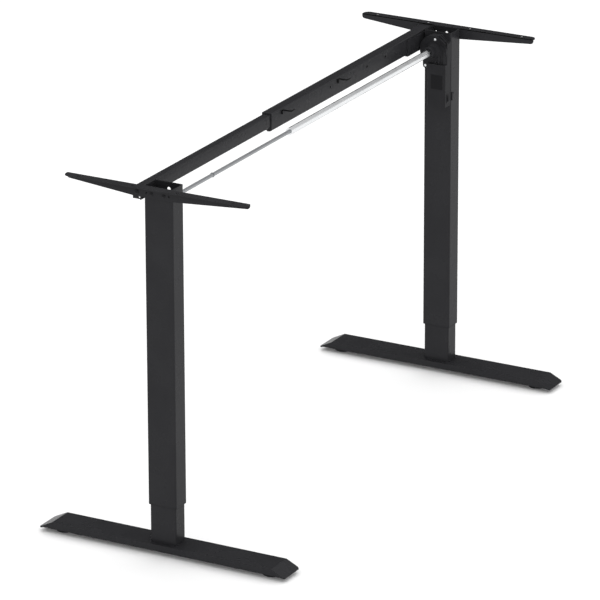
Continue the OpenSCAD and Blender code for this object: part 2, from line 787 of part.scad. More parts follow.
// Angle that joins the inner channel to the left side bracket.
module inner_beam_bracket() {
  plate_depth = 2 * beam_bolt_head;
  plate_bottom = inner_beam_top - inner_beam_height + 3;
  color(paint_black) difference() {
    union() {
      translate([-face_x, inner_beam_front - end_plate, plate_bottom])
        cube([end_plate, plate_depth + end_plate, inner_beam_top - plate_bottom]);
      translate([-face_x, inner_beam_front - end_plate, plate_bottom])
        cube([inner_angle_leg, end_plate, inner_beam_top - plate_bottom]);
    }
    translate([0, beam_bolt_y(-1), column_top - web_hole_drop])
      bar_x(-face_x - overrun, -face_x + end_plate + overrun, beam_bolt_diameter / 2, small);
    translate([0, inner_beam_front + end_plate, plate_bottom + beam_bolt_diameter * 0.8])
      bar_x(-face_x - overrun, -face_x + end_plate + overrun, beam_bolt_diameter / 2, small);
  }
}

// Outer channel of the crossbeam, with return lips, and a flared top flange at the right bracket.
module outer_beam() {
  color(paint_black) difference() {
    union() {
      along_x(outer_beam_start, beam_end_x) translate([beam_front, column_top])
        channel_section(outer_beam_depth, outer_beam_height, beam_sheet, beam_lip);
      translate([beam_end_x - beam_flare_length, outer_beam_back, column_top - beam_sheet])
        linear_extrude(beam_sheet) difference() {
          translate([0, -overrun]) square([beam_flare_length, beam_flare + overrun]);
          translate([0, beam_flare]) scale([beam_flare_length / beam_flare / 2, 1])
            circle(beam_flare, $fn = fine);
        }
    }
    for (x = beam_hole_places)
      translate([outer_beam_start + x, beam_front - overrun, column_top - beam_hole_drop])
        rotate([-90, 0, 0]) cylinder(h = beam_sheet + 2 * overrun, d = beam_hole_diameter, $fn = small);
    for (i = [0, 1]) translate([lock_screw_x(i), lock_screw_y(), outer_beam_bottom - overrun])
      cylinder(h = beam_sheet + 2 * overrun, d = lock_screw_diameter + 2 * seat_clearance, $fn = small);
  }
}

// Places of the two screws that lock the beams at a chosen width.
function lock_screw_x(i) = outer_beam_start + pad_length / 2 + (i - 0.5) * lock_screw_spacing;
function lock_screw_y() = beam_front + outer_beam_depth / 2;

// Angle that joins the outer channel to the right side bracket and runs on under it.
module outer_beam_bracket() {
  leg_bottom = outer_beam_bottom - end_plate;
  color(paint_black) difference() {
    union() {
      translate([face_x - end_plate, beam_front - end_plate, leg_bottom])
        cube([end_plate, outer_beam_depth + end_plate, column_top - leg_bottom]);
      translate([face_x - beam_angle_leg, beam_front - end_plate, leg_bottom])
        cube([beam_angle_leg, end_plate, column_top - leg_bottom - 2 * beam_bend]);
      translate([face_x - beam_angle_leg, beam_front - end_plate, leg_bottom])
        cube([beam_angle_leg, outer_beam_depth + end_plate, end_plate]);
    }
    translate([0, beam_bolt_y(1), column_top - web_hole_drop])
      bar_x(face_x - end_plate - overrun, face_x + overrun, beam_bolt_diameter / 2, small);
  }
}

// Plastic strip under the outer beam's top flange that the inner beam slides against.
module beam_slide_strip() {
  color(plastic_black)
    translate([outer_beam_start, inner_beam_front + beam_bend, column_top - beam_sheet - beam_strip])
      cube([strip_length, inner_beam_depth - 2 * beam_bend, beam_strip]);
}

// Plastic pad under the inner beam at the mouth of the outer beam.
module beam_support_pad() {
  pad_bottom = outer_beam_bottom + beam_sheet;
  color(plastic_black) difference() {
    translate([outer_beam_start, inner_beam_front, pad_bottom])
      cube([pad_length, inner_beam_depth, inner_beam_bottom - beam_clearance - pad_bottom]);
    for (i = [0, 1]) translate([lock_screw_x(i), lock_screw_y(), pad_bottom - overrun])
      cylinder(h = outer_beam_height, d = lock_screw_diameter + 2 * seat_clearance, $fn = small);
  }
}

// Screws from below that clamp the inner beam.
module beam_lock_screws() {
  color(plated_steel) for (i = [0, 1]) translate([lock_screw_x(i), lock_screw_y(), 0]) {
    translate([0, 0, outer_beam_bottom - lock_screw_head_height])
      cylinder(h = lock_screw_head_height, d = lock_screw_head, $fn = small);
    translate([0, 0, outer_beam_bottom - lock_screw_head_height / 2])
      cylinder(h = inner_beam_bottom - beam_clearance - outer_beam_bottom + lock_screw_head_height / 2,
        d = lock_screw_diameter, $fn = small);
  }
}

// Wire hook for cables on the front of the outer beam.
module cable_hook(place) {
  r = hook_wire / 2;
  color(plastic_black) translate([outer_beam_start + place, beam_front - r, column_top - 2 * r]) {
    translate([0, 0, -hook_leg]) cylinder(h = hook_leg, r = r, $fn = small);
    sphere(r, $fn = small);
    rotate([90, 0, 0]) cylinder(h = hook_arm, r = r, $fn = small);
    translate([0, -hook_arm, 0]) {
      sphere(r, $fn = small);
      bar_x(0, hook_tip, r, small);
      translate([hook_tip, 0, 0]) sphere(r, $fn = small);
    }
  }
}

// Squared corner of the gearbox over the worm, seen along X.
module gearbox_corner() {
  polygon([
    [0, drum_radius], [-outer_half_y * 0.4, drum_radius], [-outer_half_y, drum_radius * 0.5],
    [-outer_half_y, motor_top - shaft_z], [0, motor_top - shaft_z]
  ]);
}

// Gearbox housing on the inner face of the right column.
module gearbox_housing() {
  lug_y = drum_radius * 0.55;
  lug_z = -drum_radius * 1.1;
  color(plastic_black) difference() {
    union() {
      translate([0, 0, shaft_z]) {
        bar_x(drum_front, inner_face_x, drum_radius, 96);
        along_x(drum_front + corner_step, inner_face_x) gearbox_corner();
        bar_x(drum_front - boss_length, drum_front + overrun, boss_radius);
        translate([drum_front - boss_length * 0.35, 0, 0])
          rotate([0, 90, 0])
            cylinder(h = boss_length * 0.35 + overrun, r1 = boss_radius, r2 = boss_radius * 1.5, $fn = fine);
        along_x(drum_front, inner_face_x) translate([lug_y, lug_z]) circle(web_screw_head, $fn = fine);
        along_x(drum_front, inner_face_x) translate([lug_y - web_screw_head, lug_z])
          square([2 * web_screw_head, -lug_z * 0.4]);
        worm_bulge();
        gearbox_ribs();
      }
    }
    translate([0, 0, shaft_z]) {
      bar_x(drum_front + housing_wall, inner_face_x + overrun, wheel_radius + wheel_addendum + 1);
      bar_x(drum_front - boss_length - overrun, inner_face_x + overrun, shaft_tube_flats / 2 * 1.09 + 0.3);
      translate([worm_x, -worm_gap, motor_top - shaft_z - overrun])
        cylinder(h = worm_bulge_top - motor_top + shaft_z + overrun,
          r = worm_radius + wheel_addendum + 1, $fn = fine);
      for (p = gearbox_screw_places()) translate([0, p[0], p[1]])
        bar_x(drum_front - overrun, inner_face_x + overrun, web_screw_diameter / 2 + seat_clearance, small);
      for (p = gearbox_screw_places()) translate([0, p[0], p[1]])
        bar_x(drum_front - rib_height - overrun, drum_front, web_screw_head * 0.75, small);
    }
  }
}

// Front to back and upward places of the gearbox screws, from the shaft's axis.
function gearbox_screw_places() = [
  [-drum_radius * 0.16, drum_radius * 0.78],
  [drum_radius * 0.55, -drum_radius * 1.1]
];

// Round bulge over the worm, with a stepped foot where the motor is flanged on.
module worm_bulge() {
  translate([worm_x, -worm_gap, motor_top - shaft_z]) {
    cylinder(h = worm_bulge_top - motor_top + shaft_z, r = worm_bulge_radius, $fn = fine);
    for (s = [-1, 1]) translate([0, s * worm_bulge_radius * 0.8, 0])
      translate([-worm_bulge_radius * 0.55, 0, 0])
        cylinder(h = drum_radius * 0.8, r = worm_bulge_radius * 0.3, $fn = small);
  }
}

// Slope of the squared corner's cut edge.
function corner_slope() = atan2(drum_radius * 0.5, outer_half_y * 0.6);

// Slanted ribs on the squared corner of the gearbox.
module gearbox_ribs() {
  for (i = [0 : 2]) along_x(drum_front - rib_height, drum_front + corner_step + overrun)
    translate([-drum_radius * (0.72 - i * 0.05), drum_radius * (0.68 - i * 0.13)])
      rotate(corner_slope()) square([drum_radius * 0.5, drum_radius * 0.07], center = true);
}

// Bright screws that hold the gearbox to the column.
module gearbox_screws() {
  color(plated_steel) translate([drum_front, 0, shaft_z]) for (p = gearbox_screw_places())
    translate([0, p[0], p[1]]) mirror([1, 0, 0])
      pan_screw_x(web_screw_diameter, web_screw_head * 1.25, web_screw_head_height * 1.3, drum_depth);
}

// Housing of the motor, closed below and open towards the gearbox.
module motor_housing() {
  w = motor_box_width;
  d = motor_box_depth;
  color(plastic_black) translate([motor_box_x, motor_box_y, motor_top - motor_box_height]) difference() {
    translate([d / 2, w / 2, 0]) rounded_block(d, w, motor_box_height, motor_box_corner);
    translate([motor_wall, motor_wall, motor_wall])
      cube([d, w - 2 * motor_wall, motor_box_height - 2 * motor_wall]);
    translate([worm_x - motor_box_x, -worm_gap - motor_box_y, motor_box_height / 2])
      cylinder(h = motor_box_height, r = can_boss_radius, $fn = fine);
    translate([0, -motor_box_y, motor_box_height - motor_top + shaft_z])
      bar_x(drum_front - motor_box_x, motor_box_depth + overrun, drum_radius, 96);
    translate([-overrun, label_side(), label_bottom() - motor_top + motor_box_height])
      cube([label_thickness / 2 + overrun, label_width, label_height]);
    translate([socket_x(), -overrun, socket_bottom])
      cube([socket_depth, motor_wall + 2 * overrun, socket_height]);
  }
}

// Places of the label and of the socket on the motor housing.
function label_side() = motor_wall * 4;
function label_bottom() = motor_top - label_drop - label_height;
function socket_x() = motor_box_depth * 0.3;
socket_bottom = 9;
socket_height = 17;
socket_depth = 8;
socket_slot = 4.6;
socket_reach = 8;
socket_slot_reach = 6;
socket_stand_out = 0.8;
socket_edge = 2;
latch_width = 3;
latch_depth = 2;
latch_reach = 8;

// Blank label panel on the front of the motor housing.
module motor_label() {
  color(label_grey) translate([motor_box_x - label_thickness / 2, motor_box_y + label_side(), label_bottom()])
    cube([label_thickness, label_width, label_height]);
}

// Socket for the motor's lead, on the front side of the motor housing.
module power_socket() {
  color(plastic_black)
    translate([motor_box_x + socket_x(), motor_box_y - socket_stand_out,
      motor_top - motor_box_height + socket_bottom])
      difference() {
        cube([socket_depth, socket_reach, socket_height]);
        translate([(socket_depth - socket_slot) / 2, -overrun, socket_edge])
          cube([socket_slot, socket_slot_reach + overrun, socket_height - 2 * socket_edge]);
      }
}

// Small latch beside the socket, on the front face of the right column.
module cable_latch() {
  color(plastic_black) translate([inner_face_x, -outer_half_y, motor_top - motor_box_height]) {
    translate([tube_corner, -latch_depth, socket_bottom])
      cube([latch_width, latch_depth, socket_height]);
    translate([tube_corner, -latch_depth, socket_bottom + socket_height * 0.7])
      cube([latch_reach, latch_depth, latch_width]);
    translate([tube_corner, -latch_depth * 0.7, socket_bottom + socket_height * 0.35])
      cube([latch_reach * 0.8, latch_depth * 0.7, latch_width * 0.8]);
  }
}

// Motor can inside its housing.
module motor_can() {
  z0 = motor_top - motor_wall - can_length;
  color(bare_steel) translate([worm_x, -worm_gap, 0]) difference() {
    union() {
      translate([0, 0, z0]) cylinder(h = can_length, r = can_radius, $fn = fine);
      translate([0, 0, z0 - can_cap]) cylinder(h = can_cap + overrun, r = can_radius * 0.5, $fn = fine);
      translate([0, 0, z0 + can_length - overrun])
        cylinder(h = overrun + motor_wall, r = can_boss_radius, $fn = fine);
    }
    translate([0, 0, z0 + can_floor])
      cylinder(h = can_length, r = worm_shaft_radius + running_clearance, $fn = fine);
  }
}

// Control board beside the motor.
module control_board() {
  length = motor_box_height * 0.8;
  back = motor_box_y + motor_box_width - motor_wall;
  color(board_green) translate([motor_box_x + board_inset, back - board_gap,
    motor_top - motor_box_height + motor_wall]) {
    cube([board_width, board_thickness, length]);
    translate([board_width / 4, -board_part_height, length / 6])
      cube([board_width / 2, board_part_height + seat_clearance, length / 6]);
    translate([board_width / 6, -board_part_height, length / 2])
      cube([board_width * 0.6, board_part_height + seat_clearance, length / 4]);
  }
}

// Worm and its shaft, which the motor turns.
module motor_worm() {
  color(plated_steel) translate([worm_x, -worm_gap, 0]) {
    translate([0, 0, worm_shaft_bottom])
      cylinder(h = worm_shaft_length, r = worm_shaft_radius, $fn = fine);
    translate([0, 0, shaft_z - worm_radius * 2.4]) cylinder(h = worm_radius * 4.8, r = worm_core, $fn = fine);
  }
}

// Wheel that the worm turns, fixed on the hex tube.
module worm_wheel() {
  root = wheel_radius - wheel_module;
  color(nylon) translate([worm_x - wheel_width / 2, 0, shaft_z]) difference() {
    union() {
      bar_x(0, wheel_width, root);
      bar_x(-1.5, inner_face_x - worm_x + wheel_width / 2 - 0.6, wheel_radius * 0.72);
      for (i = [0 : wheel_teeth - 1]) rotate([i * 360 / wheel_teeth, 0, 0])
        along_x(0, wheel_width) polygon([
          [-wheel_module * 0.6, root * 0.98], [wheel_module * 0.6, root * 0.98],
          [wheel_module * 0.35, wheel_radius + wheel_addendum], [-wheel_module * 0.35, wheel_radius + wheel_addendum]
        ]);
    }
    hex_x(-overrun - 2, drum_depth, shaft_tube_flats);
  }
}

outer_column(-1);  // left_outer_column
side_bracket(-1);  // left_side_bracket
bracket_screws(-1);  // left_bracket_screws
guide_bush(-1);  // left_guide_bush
gear_case(-1);  // left_gear_case
gear_case_lid(-1);  // left_gear_case_lid
thrust_bearing(-1);  // left_thrust_bearing
pinion_bush(-1);  // left_pinion_bush
inner_beam();
inner_beam_bracket();
inner_column(-1);  // left_inner_column
top_slider(-1);  // left_top_slider
lift_nut(-1);  // left_lift_nut
foot(-1);  // left_foot
foot_bolts(-1);  // left_foot_bolts
lead_screw(-1);  // left_lead_screw
screw_gear(-1);  // left_screw_gear
glide(-1, -1);  // left_front_glide
glide(-1, 1);  // left_rear_glide
hex_rod();
pinion(-1);  // left_pinion
rod_collar();
outer_column(1);  // right_outer_column
side_bracket(1);  // right_side_bracket
bracket_screws(1);  // right_bracket_screws
guide_bush(1);  // right_guide_bush
gear_case(1);  // right_gear_case
gear_case_lid(1);  // right_gear_case_lid
thrust_bearing(1);  // right_thrust_bearing
pinion_bush(1);  // right_pinion_bush
outer_beam();
outer_beam_bracket();
beam_slide_strip();
beam_support_pad();
beam_lock_screws();
cable_hook(hook_places[0]);  // left_cable_hook
cable_hook(hook_places[1]);  // right_cable_hook
gearbox_housing();
gearbox_screws();
motor_housing();
motor_can();
control_board();
motor_label();
power_socket();
cable_latch();
inner_column(1);  // right_inner_column
top_slider(1);  // right_top_slider
lift_nut(1);  // right_lift_nut
foot(1);  // right_foot
foot_bolts(1);  // right_foot_bolts
lead_screw(1);  // right_lead_screw
screw_gear(1);  // right_screw_gear
glide(1, -1);  // right_front_glide
glide(1, 1);  // right_rear_glide
drive_tube();
worm_wheel();
right_spindle();
pinion(1);  // right_pinion
motor_worm();
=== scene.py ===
import json
import math

import bmesh
import bpy
from bpy.props import FloatProperty, FloatVectorProperty, IntProperty, PointerProperty
from mathutils import Matrix, Vector


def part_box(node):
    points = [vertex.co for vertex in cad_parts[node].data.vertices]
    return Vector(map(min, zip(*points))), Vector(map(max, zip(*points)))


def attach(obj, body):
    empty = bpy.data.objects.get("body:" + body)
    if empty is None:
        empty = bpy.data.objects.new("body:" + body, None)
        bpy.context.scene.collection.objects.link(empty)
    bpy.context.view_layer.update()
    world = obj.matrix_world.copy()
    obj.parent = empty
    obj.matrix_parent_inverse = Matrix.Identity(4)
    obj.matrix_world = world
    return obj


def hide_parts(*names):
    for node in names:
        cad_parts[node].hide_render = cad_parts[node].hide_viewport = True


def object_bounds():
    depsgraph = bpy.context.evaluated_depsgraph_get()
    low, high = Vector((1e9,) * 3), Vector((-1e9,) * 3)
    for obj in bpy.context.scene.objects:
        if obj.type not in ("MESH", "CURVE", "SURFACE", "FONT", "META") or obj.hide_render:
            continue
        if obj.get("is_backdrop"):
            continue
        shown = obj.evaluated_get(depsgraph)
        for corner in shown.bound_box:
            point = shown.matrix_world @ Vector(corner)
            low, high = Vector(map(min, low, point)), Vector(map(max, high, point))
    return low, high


bl_info = {
    "name": "Standing desk frame",
    "version": (1, 0, 0),
    "blender": (4, 5, 0),
    "location": "3D View > Sidebar > Desk frame",
    "description": "Dresses the standing desk frame and builds its studio",
    "category": "Object",
}

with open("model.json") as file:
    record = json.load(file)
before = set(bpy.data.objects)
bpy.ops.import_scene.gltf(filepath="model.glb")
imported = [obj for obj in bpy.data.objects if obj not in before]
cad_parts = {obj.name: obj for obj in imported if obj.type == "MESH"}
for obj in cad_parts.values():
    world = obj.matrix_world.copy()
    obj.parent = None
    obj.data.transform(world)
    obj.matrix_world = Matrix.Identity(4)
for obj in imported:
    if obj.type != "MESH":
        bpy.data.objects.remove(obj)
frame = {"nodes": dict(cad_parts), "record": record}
NODES = frame["nodes"]
SLOT_OF = {part["node"]: part["material_slot"] for part in frame["record"]["subparts"]}
CAD_LOW, CAD_HIGH = (tuple(corner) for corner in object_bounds())
MM = 0.001
UP = Vector((0, 0, 1))
SIDES = ("left", "right")

# The material of each finish. The finishes are the record's slots, and the vinyl.
MATERIALS = {
    "powder_coat": "powder_coat_black",
    "moulded_plastic": "moulded_nylon_black",
    "plated_steel": "zinc_plated_steel",
    "bare_steel": "turned_steel",
    "brass": "sintered_bronze",
    "nylon": "acetal_natural",
    "board": "solder_mask_green",
    "label": "polyester_film_black",
    "vinyl": "dipped_vinyl_black",
}

# The crossbeam's lock screws and the brackets' small screws are blackened, and the rod that
# slides in the tube has no plate. Every other node has the finish of its slot.
FINISH_OF = {
    **SLOT_OF,
    "beam_lock_screws": "moulded_plastic",
    "left_bracket_screws": "moulded_plastic",
    "right_bracket_screws": "moulded_plastic",
    "hex_rod": "bare_steel",
}

# Nearly all values of a noise pattern lie between these two.
NOISE_LOW, NOISE_HIGH = 0.3, 0.7


def linear(hex_colour):
    """The linear colour of an sRGB hex value."""
    value = hex_colour.lstrip("#")
    out = []
    for i in (0, 2, 4):
        level = int(value[i:i + 2], 16) / 255
        out.append(level / 12.92 if level <= 0.04045 else ((level + 0.055) / 1.055) ** 2.4)
    return (*out, 1.0)


def add(tree, kind, links=(), ramp=(), **settings):
    """Adds a node to the tree, with its sockets or options set by name.

    links holds (socket, source output) pairs, and ramp a colour ramp's (position, colour) stops."""
    node = tree.nodes.new(kind)
    for name, value in settings.items():
        socket = next((s for s in node.inputs if s.name == name.replace("_", " ")), None)
        if socket is None:
            setattr(node, name, value)
        else:
            socket.default_value = value
    for socket, source in links:
        tree.links.new(source, node.inputs[socket])
    if ramp:
        for stop, (position, shade) in zip(node.color_ramp.elements, ramp):
            stop.position, stop.color = position, shade
    return node


def empty_tree(owner):
    """The node tree of a material or world, emptied."""
    owner.use_nodes = True
    owner.node_tree.nodes.clear()
    return owner.node_tree


def new_finish(finish):
    """Starts the material of a finish: its tree, and the place on the part in metres."""
    tree = empty_tree(bpy.data.materials.new(MATERIALS[finish]))
    return tree, add(tree, "ShaderNodeTexCoord").outputs["Object"]


def end_finish(tree, tint, gloss=None, bump=None, **settings):
    """Ends a finish: its shader takes the tint, gloss and bump nodes, and the plain settings."""
    sources = (("Base Color", tint, "Color"), ("Roughness", gloss, "Result"),
               ("Normal", bump, "Normal"))
    links = [(socket, node.outputs[output]) for socket, node, output in sources if node]
    shader = add(tree, "ShaderNodeBsdfPrincipled", links, **settings)
    add(tree, "ShaderNodeOutputMaterial", [("Surface", shader.outputs[0])])


def shown(tree):
    """An output that is 1 for what camera, gloss and glass show, and 0 for light on the object."""
    rays = add(tree, "ShaderNodeLightPath").outputs
    either = add(tree, "ShaderNodeMath", [(0, rays["Is Camera Ray"]), (1, rays["Is Glossy Ray"])],
                 operation="MAXIMUM")
    any_of = add(tree, "ShaderNodeMath", [(0, either.outputs[0]), (1, rays["Is Transmission Ray"])],
                 operation="MAXIMUM")
    return any_of.outputs[0]


def per_mm(size):
    """Texture scale at which one feature is that many millimetres wide."""
    return 1000 / size


def finishes(looks):
    """Makes the materials of all finishes, with the sizes and colours of the looks."""
    # Polyester powder coat, sprayed and baked on steel sheet: satin black with a fine orange
    # peel that breaks up the highlight, and a faint haze where the coat lies thicker.
    tree, place = new_finish("powder_coat")
    peel = add(tree, "ShaderNodeTexNoise", [("Vector", place)],
               Scale=per_mm(looks.peel_size), Detail=3.0, Roughness=0.5)
    haze = add(tree, "ShaderNodeTexNoise", [("Vector", place)],
               Scale=per_mm(70), Detail=4.0, Roughness=0.6)
    tint = add(tree, "ShaderNodeValToRGB", [("Fac", haze.outputs["Fac"])],
               ((NOISE_LOW, looks.paint_dark), (NOISE_HIGH, looks.paint_light)))
    gloss = add(tree, "ShaderNodeMapRange", [("Value", haze.outputs["Fac"])],
                From_Min=NOISE_LOW, From_Max=NOISE_HIGH, To_Min=0.24, To_Max=0.3)
    bump = add(tree, "ShaderNodeBump", [("Height", peel.outputs["Fac"])],
               Strength=0.12, Distance=0.03 * MM)
    end_finish(tree, tint, gloss, bump, IOR=1.5, Specular_IOR_Level=looks.paint_gloss)

    # Glass-filled nylon and ABS, injection moulded with a spark-eroded texture: matt black.
    tree, place = new_finish("moulded_plastic")
    grain = add(tree, "ShaderNodeTexNoise", [("Vector", place)],
                Scale=per_mm(looks.plastic_grain), Detail=2.0, Roughness=0.7)
    flow = add(tree, "ShaderNodeTexNoise", [("Vector", place)], Scale=per_mm(30), Detail=3.0)
    tint = add(tree, "ShaderNodeValToRGB", [("Fac", flow.outputs["Fac"])],
               ((0, looks.plastic_dark), (1, looks.plastic_light)))
    gloss = add(tree, "ShaderNodeMapRange", [("Value", grain.outputs["Fac"])],
                To_Min=0.42, To_Max=0.58)
    bump = add(tree, "ShaderNodeBump", [("Height", grain.outputs["Fac"])],
               Strength=0.25, Distance=0.04 * MM)
    end_finish(tree, tint, gloss, bump, IOR=1.5, Specular_IOR_Level=looks.paint_gloss)

    # Cold-drawn steel, with bright zinc plate or turned bare: pale grey metal with drawing lines
    # along the bar, and cloudy.
    for finish, dark, light, smooth, rough in (
            ("plated_steel", looks.zinc_dark, looks.zinc_light, 0.2, 0.28),
            ("bare_steel", looks.steel_dark, looks.steel_light, 0.32, 0.5)):
        tree, place = new_finish(finish)
        along = add(tree, "ShaderNodeMapping", [("Vector", place)], Scale=(0.02, 1, 1))
        lines = add(tree, "ShaderNodeTexNoise", [("Vector", along.outputs["Vector"])],
                    Scale=per_mm(0.7), Detail=2.0)
        cloud = add(tree, "ShaderNodeTexNoise", [("Vector", place)],
                    Scale=per_mm(45), Detail=2.0, Roughness=0.5)
        tint = add(tree, "ShaderNodeValToRGB", [("Fac", cloud.outputs["Fac"])],
                   ((0, dark), (1, light)))
        gloss = add(tree, "ShaderNodeMapRange", [("Value", cloud.outputs["Fac"])],
                    From_Min=NOISE_LOW, From_Max=NOISE_HIGH, To_Min=smooth, To_Max=rough)
        bump = add(tree, "ShaderNodeBump", [("Height", lines.outputs["Fac"])],
                   Strength=0.1, Distance=0.02 * MM)
        end_finish(tree, tint, gloss, bump, Metallic=1.0)

    # Sintered bronze, pressed and oiled: dull yellow brown with dark pores.
    tree, place = new_finish("brass")
    pores = add(tree, "ShaderNodeTexVoronoi", [("Vector", place)], Scale=per_mm(0.5))
    tint = add(tree, "ShaderNodeValToRGB", [("Fac", pores.outputs["Distance"])],
               ((0, looks.bronze_dark), (0.35, looks.bronze_light)))
    bump = add(tree, "ShaderNodeBump", [("Height", pores.outputs["Distance"])],
               Strength=0.2, Distance=0.05 * MM)
    end_finish(tree, tint, bump=bump, Metallic=1.0, Roughness=0.45)

    # Acetal, turned and moulded: waxy off-white that lets a little light in.
    tree, place = new_finish("nylon")
    marks = add(tree, "ShaderNodeTexNoise", [("Vector", place)], Scale=per_mm(4), Detail=3.0)
    tint = add(tree, "ShaderNodeValToRGB", [("Fac", marks.outputs["Fac"])],
               ((0, looks.acetal_dark), (1, looks.acetal_light)))
    gloss = add(tree, "ShaderNodeMapRange", [("Value", marks.outputs["Fac"])],
                To_Min=0.35, To_Max=0.5)
    end_finish(tree, tint, gloss, IOR=1.48, Subsurface_Weight=0.15, Subsurface_Scale=1 * MM)

    # Glass-epoxy laminate under solder mask: glossy green with the weave showing faintly.
    tree, place = new_finish("board")
    weave = add(tree, "ShaderNodeTexWave", [("Vector", place)], Scale=per_mm(6), Distortion=0.6)
    tint = add(tree, "ShaderNodeValToRGB", [("Fac", weave.outputs["Fac"])],
               ((0, looks.board_dark), (1, looks.board_light)))
    end_finish(tree, tint, Roughness=0.25)

    # Polyester film label, printed black all over: it lies in faint ripples on its box.
    tree, place = new_finish("label")
    ripple = add(tree, "ShaderNodeTexNoise", [("Vector", place)], Scale=per_mm(14), Detail=2.0)
    tint = add(tree, "ShaderNodeValToRGB", [("Fac", ripple.outputs["Fac"])],
               ((0, looks.label_dark), (1, looks.label_light)))
    bump = add(tree, "ShaderNodeBump", [("Height", ripple.outputs["Fac"])],
               Strength=0.1, Distance=0.1 * MM)
    end_finish(tree, tint, bump=bump, Roughness=0.35, Specular_IOR_Level=looks.paint_gloss)

    # Soft vinyl, dipped over the hook wire: deep black, uneven skin. The same deep black lines the
    # cups in the crossbeam's spare holes as painted shade, standing in for the shadowed inside of
    # the holes.
    tree, place = new_finish("vinyl")
    dips = add(tree, "ShaderNodeTexNoise", [("Vector", place)], Scale=per_mm(2.5), Detail=2.0)
    tint = add(tree, "ShaderNodeValToRGB", [("Fac", dips.outputs["Fac"])],
               ((0, looks.vinyl_dark), (1, looks.vinyl_light)))
    bump = add(tree, "ShaderNodeBump", [("Height", dips.outputs["Fac"])],
               Strength=0.15, Distance=0.05 * MM)
    end_finish(tree, tint, bump=bump, Roughness=0.4, Specular_IOR_Level=looks.paint_gloss)


def colour(name, default, words):
    """A colour property whose default is given as an sRGB hex value."""
    return FloatVectorProperty(name=name, description=words, default=linear(default), size=4,
                               min=0.0, max=1.0, subtype="COLOR")


def length(name, default, low, high, words):
    """A length property whose default and limits are given in millimetres."""
    return FloatProperty(name=name, description=words, default=default * MM, min=low * MM,
                         max=high * MM, unit="LENGTH", precision=5)


def angle(name, default, low, high, words):
    """An angle property whose default and limits are given in degrees."""
    return FloatProperty(name=name, description=words, default=math.radians(default),
                         min=math.radians(low), max=math.radians(high), subtype="ANGLE")


def amount(name, default, words, high=1.0):
    """A strength or share, from nothing to its highest value."""
    return FloatProperty(name=name, description=words, default=default, min=0.0, max=high,
                         subtype="FACTOR")


class DeskFrameLooks(bpy.types.PropertyGroup):
    """Sizes and colours of the finishes, of the pieces and of the studio."""
    paint_dark: colour("Paint, dark", "#29292b", "Darkest tone of the powder coat")
    paint_light: colour("Paint, light", "#2d2d2f", "Lightest tone of the powder coat")
    paint_gloss: amount("Paint gloss", 0.075, "Specular level of paint, plastic, label and vinyl")
    peel_size: FloatProperty(name="Orange peel", default=1.2, min=0.2, max=4.0,
                             description="Width of one dimple of the powder coat, in mm")
    plastic_dark: colour("Plastic, dark", "#222224", "Darkest tone of the moulded plastic")
    plastic_light: colour("Plastic, light", "#29292b", "Lightest tone of the moulded plastic")
    plastic_grain: FloatProperty(name="Plastic grain", default=0.6, min=0.1, max=3.0,
                                 description="Width of one grain of the moulded texture, in mm")
    zinc_dark: colour("Zinc, dark", "#d8dadc", "Darkest tone of the zinc plate")
    zinc_light: colour("Zinc, light", "#f0f1f2", "Lightest tone of the zinc plate")
    steel_dark: colour("Steel, dark", "#85878a", "Darkest tone of the bare steel")
    steel_light: colour("Steel, light", "#a9abad", "Lightest tone of the bare steel")
    bronze_dark: colour("Bronze, dark", "#5e4524", "Tone of the bronze's pores")
    bronze_light: colour("Bronze, light", "#b18a4c", "Tone of the bronze between its pores")
    acetal_dark: colour("Acetal, dark", "#d8d4c8", "Darkest tone of the acetal")
    acetal_light: colour("Acetal, light", "#ebe8df", "Lightest tone of the acetal")
    board_dark: colour("Board, dark", "#1d4a30", "Darkest tone of the control board")
    board_light: colour("Board, light", "#27593b", "Lightest tone of the control board")
    label_dark: colour("Label, dark", "#161618", "Darkest tone of the blank label")
    label_light: colour("Label, light", "#1a1a1c", "Lightest tone of the blank label")
    # On the cups in the crossbeam's holes, these vinyl tones are painted shade.
    vinyl_dark: colour("Vinyl, dark", "#080809", "Darkest tone of the dipped hooks and plugs")
    vinyl_light: colour("Vinyl, light", "#0d0d0e", "Lightest tone of the dipped hooks and plugs")
    glide_stud: length("Glide stud", 8, 4, 12, "Diameter of the glides' threaded studs")
    glide_notches: IntProperty(name="Glide notches", default=16, min=0, max=64,
                               description="Number of grip notches round a glide")
    hook_wire: length("Hook wire", 2.8, 1, 5, "Diameter of the cable hooks' wire")
    hook_bend: length("Hook bend", 3, 1.5, 5, "Bend radius of the hooks, at the wire's middle")
    bracket_web: length("Bracket web", 22.4, 18, 26, "Height of a bracket's web at its column")
    bracket_tip: length("Bracket tip", 9.5, 8, 14, "Height of a bracket's web at its tips")
    key_power: amount("Key light", 0.8, "Strength of the large soft lamp", 20)
    key_height: angle("Key height", 57, 0, 90, "Height of the key light over the floor's plane")
    key_side: angle("Key side", 25, -180, 180, "Turn of the key light from the +X axis")
    key_width: angle("Key width", 60, 0, 120, "Apparent width of the key light")
    fill_power: amount("Fill light", 0.25, "Strength of the low lamp beside the camera", 20)
    fill_height: angle("Fill height", 3, 0, 90, "Height of the fill light over the floor's plane")
    fill_side: angle("Fill side", -132, -180, 180, "Turn of the fill light from the +X axis")
    fill_width: angle("Fill width", 14, 0, 120, "Apparent width of the fill light")
    sky_level: amount("Sky", 0.98, "Strength of the studio's even light on the object", 2)
    paper_dark: colour("Paper, dark", "#f4f4f4", "Darkest tone of the floor's paper")
    paper_light: colour("Paper, light", "#f6f6f6", "Lightest tone of the floor's paper")
    floor_lift: amount("Floor lift", 0.04, "White that the floor adds for the camera")
    flag_low: amount("Flag, low", 0.08, "Brightness of the foot of the dark flag")
    flag_high: amount("Flag, high", 0.03, "Brightness of the dark flag above its foot")
    flag_spill: amount("Flag spill", 0.4, "Light that spills on the flag's upper edge")


